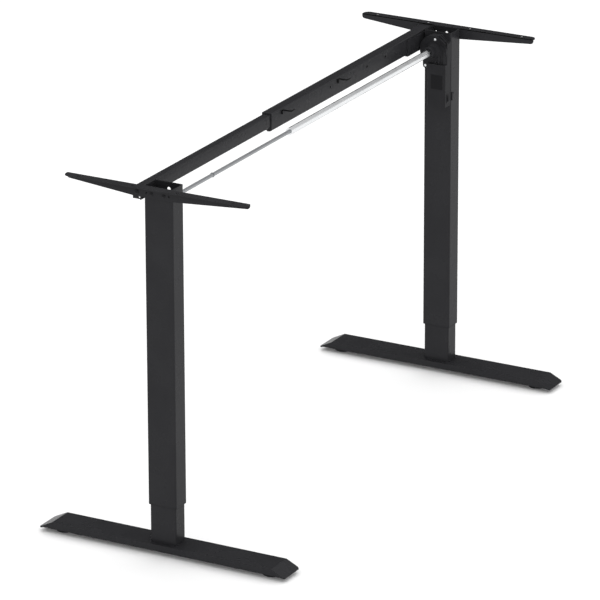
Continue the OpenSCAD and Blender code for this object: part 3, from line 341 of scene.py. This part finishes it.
def piece(name, build, body, slot, replaced=(), finish=None, smooth_angle=40):
    """Makes a piece from a bmesh, gives it its finish, and makes it ride on a body.

    The finish is the slot's unless one is given. Edges sharper than smooth_angle stay crisp."""
    bmesh.ops.recalc_face_normals(build, faces=build.faces)
    mesh = bpy.data.meshes.new(name)
    build.to_mesh(mesh)
    build.free()
    mesh.materials.append(bpy.data.materials[MATERIALS[finish or slot]])
    mesh.shade_smooth()
    mesh.set_sharp_from_angle(angle=math.radians(smooth_angle))
    obj = bpy.data.objects.new(name, mesh)
    bpy.context.scene.collection.objects.link(obj)
    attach(obj, body)
    if replaced:
        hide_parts(*replaced)


def corners(node):
    """The lowest and the highest corner of a node, as vectors."""
    low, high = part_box(node)
    return Vector(low), Vector(high)


def floor_point(low, high):
    """The point on the floor under the middle of a box."""
    return Vector(((low.x + high.x) / 2, (low.y + high.y) / 2, 0))


def metres(x, y, z):
    """A point in metres, from millimetres."""
    return Vector((x * MM, y * MM, z * MM))


def skin(build, rings, capped=False):
    """Joins each ring of points to the next with faces. A ring may be a single point."""
    for low, high in zip(rings, rings[1:]):
        count = max(len(low), len(high))
        for i in range(count):
            j = (i + 1) % count
            around = (low[i % len(low)], low[j % len(low)],
                      high[j % len(high)], high[i % len(high)])
            unique = list(dict.fromkeys(around))
            if len(unique) > 2:
                build.faces.new(unique)
    if capped:
        build.faces.new(rings[0][::-1])
        build.faces.new(rings[-1])


def lathe(build, centre, profile, segments=48, axis=UP):
    """Turns a closed profile about an axis through a centre in metres.

    The profile holds (radius, distance along the axis) points in millimetres."""
    turn = UP.rotation_difference(axis).to_matrix()
    rings = []
    for radius, height in profile:
        ring = []
        for i in range(segments if radius else 1):
            a = math.tau * i / segments
            spot = metres(radius * math.cos(a), radius * math.sin(a), height)
            ring.append(build.verts.new(centre + turn @ spot))
        rings.append(ring)
    skin(build, rings)


def threaded_rod(build, centre, radius, depth, pitch, low, high, starts=1, hand=1, segments=24):
    """Adds a rod with a trapezoidal thread between two heights, all in millimetres.

    The thread fades in over one pitch at each end. hand is 1 for right-hand, -1 for left-hand."""
    # In pitches, the crest is 0.2 wide, and each flank falls over a sixth.
    steps_per_pitch, half_crest, flank = 8, 0.1, 6.0
    count = max(2, round((high - low) / pitch * steps_per_pitch))
    rings = []
    for k in range(count + 1):
        height = low + (high - low) * k / count
        end = min(1.0, (height - low) / pitch, (high - height) / pitch)
        ring = []
        for i in range(segments):
            turn = i / segments
            phase = (height / pitch - hand * turn * starts) % 1.0
            crest = min(1.0, max(0.0, 1 - flank * (abs(phase - 0.5) - half_crest)))
            reach, a = radius - depth * (1 - crest * end), math.tau * turn
            spot = metres(reach * math.cos(a), reach * math.sin(a), height)
            ring.append(build.verts.new(centre + spot))
        rings.append(ring)
    skin(build, rings, capped=True)


def rounded_path(points, bend, steps=6):
    """The points of a polyline whose corners are bent round with a radius in metres."""
    path = [points[0]]
    for before, here, after in zip(points, points[1:], points[2:]):
        back, ahead = (before - here).normalized(), (after - here).normalized()
        half = back.angle(ahead) / 2
        reach = bend / math.tan(half)
        centre = here + (back + ahead).normalized() * (bend / math.sin(half))
        start, stop = here + back * reach - centre, here + ahead * reach - centre
        path += [centre + start.slerp(stop, k / steps) * bend for k in range(steps + 1)]
    return path + [points[-1]]


def wire(build, path, radius, segments=16):
    """Adds a round wire along a path in metres, with domed ends."""
    dome_angles = [math.radians(a) for a in (25, 50, 80)]
    domes = []
    for tip, inside in ((path[0], path[1]), (path[-1], path[-2])):
        out = (tip - inside).normalized() * radius
        domes.append([(tip + out * math.sin(a), radius * math.cos(a)) for a in dome_angles])
    stations = domes[0][::-1] + [(point, radius) for point in path] + domes[1]
    places = [place for place, _ in stations]
    side = (places[1] - places[0]).orthogonal().normalized()
    turns = [math.tau * i / segments for i in range(segments)]
    rings = []
    for k, (place, reach) in enumerate(stations):
        ahead = (places[min(k + 1, len(places) - 1)] - places[max(k - 1, 0)]).normalized()
        side = (side - ahead * side.dot(ahead)).normalized()
        up = ahead.cross(side)
        rings.append([build.verts.new(place + (side * math.cos(a) + up * math.sin(a)) * reach)
                      for a in turns])
    skin(build, rings, capped=True)


def eased(points, rounds, steps=5):
    """A closed outline whose corners are rounded, each with its own radius (0 keeps it sharp)."""
    out = []
    for i, (here, radius) in enumerate(zip(points, rounds)):
        here = Vector(here)
        if not radius:
            out.append(tuple(here))
            continue
        back = (Vector(points[i - 1]) - here).normalized()
        ahead = (Vector(points[(i + 1) % len(points)]) - here).normalized()
        half = back.angle(ahead) / 2
        centre = here + (back + ahead).normalized() * (radius / math.sin(half))
        reach = radius / math.tan(half)
        start, stop = here + back * reach, here + ahead * reach
        for k in range(steps + 1):
            towards = start.lerp(stop, k / steps) - centre
            out.append(tuple(centre + towards.normalized() * radius))
    return out


def plate(build, outline, holes, low, high, place):
    """Adds a flat plate between two depths, from an outline and (x, y, radius) holes.

    All is in millimetres. place turns a flat point and a depth into a point in metres."""
    hole_sides, weld = 32, 1e-5
    turns = [math.tau * i / hole_sides for i in range(hole_sides)]
    rings = [outline] + [[(x + r * math.cos(a), y + r * math.sin(a)) for a in turns]
                         for x, y, r in holes]
    curve = bpy.data.curves.new("plate", "CURVE")
    curve.dimensions, curve.fill_mode = "2D", "BOTH"
    for ring in rings:
        spline = curve.splines.new("POLY")
        spline.points.add(len(ring) - 1)
        for point, (x, y) in zip(spline.points, ring):
            point.co = (x, y, 0, 1)
        spline.use_cyclic_u = True
    filled = bpy.data.objects.new("plate", curve)
    slab = bmesh.new()
    slab.from_mesh(filled.to_mesh())
    filled.to_mesh_clear()
    bpy.data.objects.remove(filled)
    bpy.data.curves.remove(curve)

    bmesh.ops.remove_doubles(slab, verts=slab.verts, dist=weld)
    under = list(slab.verts)
    grown = bmesh.ops.extrude_face_region(slab, geom=list(slab.faces))["geom"]
    for vert in under:
        vert.co = place(vert.co.x, vert.co.y, low)
    for vert in grown:
        if isinstance(vert, bmesh.types.BMVert):
            vert.co = place(vert.co.x, vert.co.y, high)
    mesh = bpy.data.meshes.new("plate")
    slab.to_mesh(mesh)
    slab.free()
    build.from_mesh(mesh)
    bpy.data.meshes.remove(mesh)


class DESKFRAME_OT_finishes(bpy.types.Operator):
    """Gives every part of the frame the finish of its real material."""
    bl_idname = "deskframe.finishes"
    bl_label = "Finish the parts"

    def execute(self, context):
        looks = context.scene.desk_frame
        finishes(looks)
        for name, obj in NODES.items():
            obj.data.materials.clear()
            obj.data.materials.append(bpy.data.materials[MATERIALS[FINISH_OF[name]]])
        return {"FINISHED"}


class DESKFRAME_OT_lead_screws(bpy.types.Operator):
    """Cuts the two-start trapezoidal threads of the lead screws, one of each hand."""
    bl_idname = "deskframe.lead_screws"
    bl_label = "Cut the lead screws"

    def execute(self, context):
        thread_depth, thread_pitch, starts = 1.4, 5, 2
        # The plain collar under the bearing, which starts inside the end of the thread.
        collar, overlap, collar_chamfer, tip_chamfer = 6, 0.5, 0.4, 0.6
        for side, hand in (("left", 1), ("right", -1)):
            low, high = corners(f"{side}_lead_screw")
            bearing_low, _ = corners(f"{side}_thrust_bearing")
            centre = floor_point(low, high)
            radius = (high.x - low.x) / 2 / MM
            journal = radius / 2
            top, shoulder = high.z / MM, bearing_low.z / MM
            thread_end = shoulder - collar
            build = bmesh.new()
            threaded_rod(build, centre, radius, thread_depth, thread_pitch, low.z / MM, thread_end,
                         starts, hand)
            lathe(build, centre, [
                (0, thread_end - overlap), (radius - collar_chamfer, thread_end - overlap),
                (radius, thread_end), (radius, shoulder), (journal, shoulder),
                (journal, top - tip_chamfer), (journal - tip_chamfer, top), (0, top)])
            piece(f"{side}_threaded_screw", build, f"{side}_screw", "plated_steel",
                  (f"{side}_lead_screw",))
        return {"FINISHED"}


class DESKFRAME_OT_glides(bpy.types.Operator):
    """Moulds the levelling glides: a pad with a soft rim and grip notches on a threaded stud."""
    bl_idname = "deskframe.glides"
    bl_label = "Mould the glides"

    def execute(self, context):
        for side in SIDES:
            for end in ("front", "rear"):
                self.glide(context.scene.desk_frame, f"{side}_{end}_glide")
        return {"FINISHED"}

    def glide(self, looks, node):
        """Makes the pad of one glide, which replaces its node, and the stud that it turns on."""
        notch_depth, notch_low, notch_high, rim = 0.35, 2, 5, 0.95
        thread_depth, thread_pitch, stud_foot = 0.6, 1.25, 7.6
        low, high = corners(node)
        centre = floor_point(low, high)
        reach = (high.x - low.x) / 2 / MM
        build = bmesh.new()
        lathe(build, centre, [
            (0, 0), (reach - 2.4, 0), (reach - 1.0, 0.35), (reach - 0.25, 1.2), (reach, 2.2),
            (reach, 4.6), (reach - 0.4, 5.4), (reach * 0.9, 6.0), (reach * 0.86, 6.8),
            (reach * 0.6, 7.5), (reach * 0.5, 8.0), (0, 8.0)], segments=64)
        for vert in build.verts:
            out = (vert.co - centre).to_2d()
            if out.length > reach * rim * MM and notch_low < vert.co.z / MM < notch_high:
                wave = max(0, math.cos(math.atan2(out.y, out.x) * looks.glide_notches))
                vert.co -= (out.normalized() * notch_depth * MM * wave).to_3d()
        piece(f"{node}_pad", build, node, "moulded_plastic", (node,))
        build = bmesh.new()
        threaded_rod(build, centre, looks.glide_stud / 2 / MM, thread_depth, thread_pitch,
                     stud_foot, high.z / MM, segments=32)
        piece(f"{node}_stud", build, node, "plated_steel")


class DESKFRAME_OT_cable_hooks(bpy.types.Operator):
    """Bends the wire hooks on the front of the crossbeam."""
    bl_idname = "deskframe.cable_hooks"
    bl_label = "Bend the cable hooks"

    def execute(self, context):
        looks = context.scene.desk_frame
        for side in SIDES:
            node = f"{side}_cable_hook"
            low, high = corners(node)
            r = looks.hook_wire / 2
            near, far = low + Vector((r, r, r)), high - Vector((r, r, r))
            path = rounded_path([
                Vector((near.x, far.y, low.z)), Vector((near.x, far.y, far.z)),
                Vector((near.x, near.y, far.z)), Vector((far.x, near.y, far.z))], looks.hook_bend)
            build = bmesh.new()
            wire(build, path, r)
            piece(f"{node}_wire", build, "right_upper", "moulded_plastic", (node,), finish="vinyl")
        return {"FINISHED"}


class DESKFRAME_OT_side_brackets(bpy.types.Operator):
    """Folds the side brackets: a tapered web with screw holes and a flange for the desktop."""
    bl_idname = "deskframe.side_brackets"
    bl_label = "Fold the side brackets"

    def execute(self, context):
        looks = context.scene.desk_frame
        web, tip = looks.bracket_web / MM, looks.bracket_tip / MM
        # The rest is in millimetres too. The web starts inside the flange, and has its full
        # height from the column's front to some way behind it.
        web_sheet, flange_sheet, web_start, web_behind = 2.5, 1.7, 0.2, 16
        web_round, tip_round, flange_round = 30, 5.5, 11
        screws_below, screw_places, screw_hole = 13.5, (-24, -13, 13, 24), 2.2
        beam_inset, beam_hole, middle_hole = 6, 2.5, 3.75
        desktop_places, desktop_out, desktop_hole = (-163, -47, 47, 163), 1.25, 3.5
        for side, hand in (("left", -1), ("right", 1)):
            low, high = corners(f"{side}_side_bracket")
            column_low, column_high = corners(f"{side}_outer_column")
            half, top, reach = high.y / MM, high.z / MM, (high.x - low.x) / MM
            face = (column_low.x if side == "left" else column_high.x) / MM
            build = bmesh.new()

            start, ends, foot = top - web_start, top - tip, top - web
            outline = eased([(-half, start), (-half, ends), (column_low.y / MM, foot),
                             (column_high.y / MM + web_behind, foot), (half, ends), (half, start)],
                            (0, tip_round, web_round, web_round, tip_round, 0))
            holes = [(y, top - screws_below, screw_hole) for y in screw_places]
            if side == "right":
                beam_low, _ = corners("outer_beam")
                holes += [(beam_low.y / MM + beam_inset, top - screws_below, beam_hole),
                          (0, top - screws_below, middle_hole)]
            plate(build, outline, holes, 0, web_sheet,
                  lambda y, z, depth: metres(face + hand * depth, y, z))

            flange = eased([(0, -half), (reach, -half), (reach, half), (0, half)],
                           (0, flange_round, flange_round, 0))
            seats = [(reach / 2 + desktop_out, y, desktop_hole) for y in desktop_places]
            plate(build, flange, seats, top - flange_sheet, top,
                  lambda x, y, depth: metres(face + hand * x, y, depth))
            piece(f"{side}_folded_bracket", build, f"{side}_upper", "powder_coat",
                  (f"{side}_side_bracket",), smooth_angle=30)
        return {"FINISHED"}


class DESKFRAME_OT_column_heads(bpy.types.Operator):
    """Carries the column tubes up to the desktop's underside, with their rolled head edge."""
    bl_idname = "deskframe.column_heads"
    bl_label = "Finish the column heads"

    def execute(self, context):
        top = CAD_HIGH[2] / MM
        outer_round, wall, edge, overlap = 3.0, 1.5, 0.3, 0.4
        for side in SIDES:
            low, high = (corner / MM for corner in corners(f"{side}_outer_column"))
            middle = (low + high) / 2
            outer, inner = (
                eased([(low.x + inset, low.y + inset), (high.x - inset, low.y + inset),
                       (high.x - inset, high.y - inset), (low.x + inset, high.y - inset)],
                      (radius,) * 4, steps=6) for inset, radius in ((0, outer_round), (wall, wall)))
            foot = high.z - overlap
            build = bmesh.new()
            rings = []
            for ring, height, shrink in ((outer, foot, 0), (outer, top - edge, 0),
                                         (outer, top, edge), (inner, top, 0), (inner, foot, 0)):
                rings.append([build.verts.new(metres(
                    x - math.copysign(shrink, x - middle.x),
                    y - math.copysign(shrink, y - middle.y), height)) for x, y in ring])
            skin(build, rings + rings[:1])
            piece(f"{side}_column_head", build, f"{side}_upper", "powder_coat")
        return {"FINISHED"}


class DESKFRAME_OT_shaft_ring(bpy.types.Operator):
    """Springs the split stop ring onto the thin hex rod."""
    bl_idname = "deskframe.shaft_ring"
    bl_label = "Fit the stop ring"

    def execute(self, context):
        wire_radius, play, steps = 0.65 * MM, 0.2 * MM, 40
        gap, gap_turn = math.radians(28), math.radians(200)
        low, high = corners("rod_collar")
        rod_low, rod_high = corners("hex_rod")
        radius = (rod_high.z - rod_low.z) / 2 + play
        turns = [gap_turn + gap / 2 + (math.tau - gap) * k / steps for k in range(steps + 1)]
        path = [(low + high) / 2 + Vector((0, math.cos(a), math.sin(a))) * radius for a in turns]
        build = bmesh.new()
        wire(build, path, wire_radius, segments=12)
        piece("rod_stop_ring", build, "thin_shaft", "bare_steel", ("rod_collar",))
        return {"FINISHED"}


class DESKFRAME_OT_gearbox_mouldings(bpy.types.Operator):
    """Adds the gearbox's ribs on the cut corner, swells over the worm and bead at its foot."""
    bl_idname = "deskframe.gearbox_mouldings"
    bl_label = "Mould the gearbox details"

    def execute(self, context):
        # All points are in millimetres, with x from the gearbox's front face into the housing,
        # and y and z from the shaft's axis.
        housing_depth = 20
        _, high = corners("motor_housing")
        shaft_low, shaft_high = corners("drive_tube")
        front, axis = high.x - housing_depth * MM, (shaft_low + shaft_high) / 2
        origin = Vector((front, axis.y, axis.z))

        rib_outline = eased([(-9.5, 28.6), (-12.4, 32.2), (-30.4, 17.4), (-29.4, 13.6)],
                            (0, 0.8, 0.8, 0))
        build = bmesh.new()
        for near, far in ((4.2, 7.6), (10.4, 13.6), (16.4, 19.8)):
            plate(build, rib_outline, [], near, far,
                  lambda y, z, depth: origin + metres(depth, y, z))
        piece("gearbox_corner_ribs", build, "right_upper", "moulded_plastic")

        # Each run has its radius, its number of sides and the points that it passes through.
        swells = [(3.3, 24, [(1.0, y, z) for z in (-27.0, -15.0, top)])
                  for y, top in ((-13.4, -3.0), (-24.4, -1.0))]
        bead = [(1.7, 20, [(0.6, y, -28.2) for y in (-28.6, -10.0, 8.0)])]
        lugs = [(2.2, 20, [(0.2, y, z) for z in (-27.5, -24.5)]) for y in (-19.0, -6.5)]
        for name, runs in (("gearbox_worm_swells", swells), ("gearbox_foot_bead", bead + lugs)):
            build = bmesh.new()
            for radius, sides, points in runs:
                wire(build, [origin + metres(*point) for point in points], radius * MM, sides)
            piece(name, build, "right_upper", "moulded_plastic")
        return {"FINISHED"}


class DESKFRAME_OT_housing_screws(bpy.types.Operator):
    """Turns the gearbox's pan head screws with their driver recess."""
    bl_idname = "deskframe.housing_screws"
    bl_label = "Turn the gearbox screws"

    def execute(self, context):
        pan_head = [(0, 1.4), (0.7, 1.6), (1.3, 2.5), (2.0, 2.4), (2.7, 1.9), (3.0, 1.1),
                    (3.0, 0), (1.9, 0), (1.9, -22), (0, -23)]
        cad_head_radius, cad_head_height = 4.0 * MM, 2.86 * MM
        low, high = corners("gearbox_screws")
        seat = low.x + cad_head_height
        build = bmesh.new()
        for y, z in ((low.y + cad_head_radius, high.z - cad_head_radius),
                     (high.y - cad_head_radius, low.z + cad_head_radius)):
            lathe(build, Vector((seat, y, z)), pan_head, segments=32, axis=Vector((-1, 0, 0)))
        piece("gearbox_pan_screws", build, "right_upper", "plated_steel", ("gearbox_screws",))
        return {"FINISHED"}


class DESKFRAME_OT_beam_hole_shade(bpy.types.Operator):
    """Puts dark cups into the spare holes in the front face of the crossbeam: their deep black is
    painted shade for the shadowed inside of the holes.
    """
    bl_idname = "deskframe.beam_plugs"
    bl_label = "Plug the crossbeam's holes"

    def execute(self, context):
        cup = [(0, 1.5), (2.1, 1.5), (2.2, 0), (2.45, 0), (2.45, 1.75), (0, 1.75)]
        hole_places, holes_below = (235, 387, 464), 12
        low, high = corners("outer_beam")
        build = bmesh.new()
        for x in hole_places:
            hole = Vector((low.x + x * MM, low.y, high.z - holes_below * MM))
            lathe(build, hole, cup, segments=32, axis=Vector((0, 1, 0)))
        # The cups take the vinyl's deep black as painted shade, for the shadowed inside of the
        # holes.
        piece("beam_hole_plugs", build, "right_upper", "moulded_plastic", finish="vinyl")
        return {"FINISHED"}


class DESKFRAME_OT_stage(bpy.types.Operator):
    """Builds the pale floor, the dark flag, the even white light, the lamps and the camera."""
    bl_idname = "deskframe.stage"
    bl_label = "Build the studio"

    def execute(self, context):
        looks = context.scene.desk_frame
        scene = context.scene
        scene.view_settings.view_transform = "Standard"
        self.floor(looks)
        self.flag(looks)
        self.world(scene, looks)
        self.lamps(scene, looks)
        self.camera(scene)
        return {"FINISHED"}

    def backdrop(self, name, points, material):
        """A flat surface between four points in metres."""
        mesh = bpy.data.meshes.new(name)
        mesh.from_pydata(points, [], [(0, 1, 2, 3)])
        mesh.materials.append(material)
        obj = bpy.data.objects.new(name, mesh)
        bpy.context.scene.collection.objects.link(obj)
        return obj

    def floor(self, looks):
        # Matt white paper: it takes the soft shadow, and adds a little white for what looks at it
        # so that it meets the background without an edge.
        material = bpy.data.materials.new("white_paper")
        tree = empty_tree(material)
        fibres = add(tree, "ShaderNodeTexNoise", Scale=per_mm(3), Detail=2.0)
        tint = add(tree, "ShaderNodeValToRGB", [("Fac", fibres.outputs["Fac"])],
                   ((0, looks.paper_dark), (1, looks.paper_light)))
        paper = add(tree, "ShaderNodeBsdfDiffuse", [("Color", tint.outputs["Color"])])
        lift = add(tree, "ShaderNodeMapRange", [("Value", shown(tree))], To_Max=looks.floor_lift)
        glow = add(tree, "ShaderNodeEmission", [("Strength", lift.outputs["Result"])])
        both = add(tree, "ShaderNodeAddShader", [(0, paper.outputs[0]), (1, glow.outputs[0])])
        add(tree, "ShaderNodeOutputMaterial", [("Surface", both.outputs[0])])
        reach = 30
        around = [(-reach, -reach, 0), (reach, -reach, 0), (reach, reach, 0), (-reach, reach, 0)]
        floor = self.backdrop("studio_floor", around, material)
        # The floor stays under the feet when the legs run out.
        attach(floor, "left_leg")
        floor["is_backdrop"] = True

    def flag(self, looks):
        # A sheet behind the frame, straight ahead of the camera, that only gloss shows. It glows
        # instead of being lit, and the glow is painted light: it is dim like a lit dark cloth, and
        # brighter at its upper edge as painted spill. Its reflection keeps the tops of the feet and
        # the brackets deep black.
        material = bpy.data.materials.new("black_molton")
        tree = empty_tree(material)
        place = add(tree, "ShaderNodeTexCoord")
        parts = add(tree, "ShaderNodeSeparateXYZ", [("Vector", place.outputs["Object"])])
        height = parts.outputs["Z"]
        cloth = add(tree, "ShaderNodeMapRange", [("Value", height)], From_Min=0.6, From_Max=1.6,
                    To_Min=looks.flag_low, To_Max=looks.flag_high)
        spill = add(tree, "ShaderNodeMapRange", [("Value", height)], From_Min=2.2, From_Max=2.9,
                    To_Max=looks.flag_spill)
        both = add(tree, "ShaderNodeMath", operation="ADD",
                   links=[(0, cloth.outputs["Result"]), (1, spill.outputs["Result"])])
        # The flag's glow is painted light: it stands for the studio's light on a dark cloth, with
        # painted spill at the top.
        glow = add(tree, "ShaderNodeEmission", [("Strength", both.outputs[0])])
        add(tree, "ShaderNodeOutputMaterial", [("Surface", glow.outputs[0])])
        half_width, distance, low, high = 4.5, 3.4, 0.02, 3.4
        heading = math.radians(28.9)
        ahead = Vector((math.cos(heading), math.sin(heading), 0))
        foot, across = ahead * distance, Vector((-ahead.y, ahead.x, 0)) * half_width
        around = [foot - across + UP * low, foot + across + UP * low,
                  foot + across + UP * high, foot - across + UP * high]
        flag = self.backdrop("dark_flag", around, material)
        for rays in ("visible_camera", "visible_diffuse", "visible_shadow", "visible_transmission",
                     "visible_volume_scatter"):
            setattr(flag, rays, False)
        flag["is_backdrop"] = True

    def world(self, scene, looks):
        # White for what is shown, and the sky's level for the light that falls on the object.
        world = bpy.data.worlds.new("studio_light")
        scene.world = world
        tree = empty_tree(world)
        strength = add(tree, "ShaderNodeMapRange", [("Value", shown(tree))],
                       To_Min=looks.sky_level, To_Max=1.0)
        sky = add(tree, "ShaderNodeBackground", [("Strength", strength.outputs["Result"])],
                  Color=(1, 1, 1, 1))
        add(tree, "ShaderNodeOutputWorld", [("Surface", sky.outputs[0])])

    def lamps(self, scene, looks):
        # A large soft key lamp, high behind the far column, and a weak low one beside the camera.
        distance = 6
        for name in ("key", "fill"):
            height, side = getattr(looks, f"{name}_height"), getattr(looks, f"{name}_side")
            lamp = bpy.data.lights.new(f"{name}_lamp", "SUN")
            lamp.energy = getattr(looks, f"{name}_power")
            lamp.angle = getattr(looks, f"{name}_width")
            towards = Vector((math.cos(side) * math.cos(height), math.sin(side) * math.cos(height),
                              math.sin(height)))
            obj = bpy.data.objects.new(f"{name}_lamp", lamp)
            obj.location = towards * distance
            obj.rotation_euler = towards.to_track_quat("Z", "Y").to_euler()
            # The lamps are screened from the gloss, which shows the white studio and the flag.
            obj.visible_glossy = False
            scene.collection.objects.link(obj)

    def camera(self, scene):
        # Matched to the photograph by the corners of columns, feet and brackets. It looks at a
        # point on the frame's middle line, moved in the picture by across and upwards, in metres.
        azimuth, height, roll = (math.radians(a) for a in (-61.1321, 19.9639, -0.1516))
        middle_height, across, upwards = 0.37, -0.01915299, -0.04278779
        distance, focal_pixels, picture_pixels, sensor = 9.93444246, 5116.024, 600, 36
        back = Vector((math.sin(azimuth) * math.cos(height), -math.cos(azimuth) * math.cos(height),
                       math.sin(height)))
        right = (-back).cross(UP).normalized()
        up = right.cross(-back)
        target = UP * middle_height + right * across + up * upwards
        turned_right = right * math.cos(roll) + up * math.sin(roll)
        turned_up = up * math.cos(roll) - right * math.sin(roll)
        data = bpy.data.cameras.new("camera")
        data.sensor_width = sensor
        data.lens = sensor * focal_pixels / picture_pixels
        data.clip_start, data.clip_end = 0.5, 200
        obj = bpy.data.objects.new("camera", data)
        turn = Matrix((turned_right, turned_up, back)).transposed()
        obj.matrix_world = Matrix.Translation(target + back * distance) @ turn.to_4x4()
        scene.collection.objects.link(obj)
        scene.camera = obj


STEPS = (DESKFRAME_OT_stage, DESKFRAME_OT_finishes, DESKFRAME_OT_lead_screws, DESKFRAME_OT_glides,
         DESKFRAME_OT_cable_hooks, DESKFRAME_OT_side_brackets, DESKFRAME_OT_column_heads,
         DESKFRAME_OT_shaft_ring, DESKFRAME_OT_gearbox_mouldings, DESKFRAME_OT_housing_screws,
         DESKFRAME_OT_beam_hole_shade)


class DESKFRAME_PT_panel(bpy.types.Panel):
    """Lists the steps and the settings of the desk frame."""
    bl_idname = "DESKFRAME_PT_panel"
    bl_label = "Desk frame"
    bl_space_type = "VIEW_3D"
    bl_region_type = "UI"
    bl_category = "Desk frame"

    def draw(self, context):
        for step in STEPS:
            self.layout.operator(step.bl_idname)
        looks = context.scene.desk_frame
        for name in DeskFrameLooks.__annotations__:
            self.layout.prop(looks, name)


CLASSES = (DeskFrameLooks, *STEPS, DESKFRAME_PT_panel)


def register():
    for cls in CLASSES:
        bpy.utils.register_class(cls)
    bpy.types.Scene.desk_frame = PointerProperty(type=DeskFrameLooks)


def unregister():
    del bpy.types.Scene.desk_frame
    for cls in reversed(CLASSES):
        bpy.utils.unregister_class(cls)


def main():
    register()
    for step in STEPS:
        group, name = step.bl_idname.split(".")
        getattr(getattr(bpy.ops, group), name)()


if __name__ == "__main__":
    main()
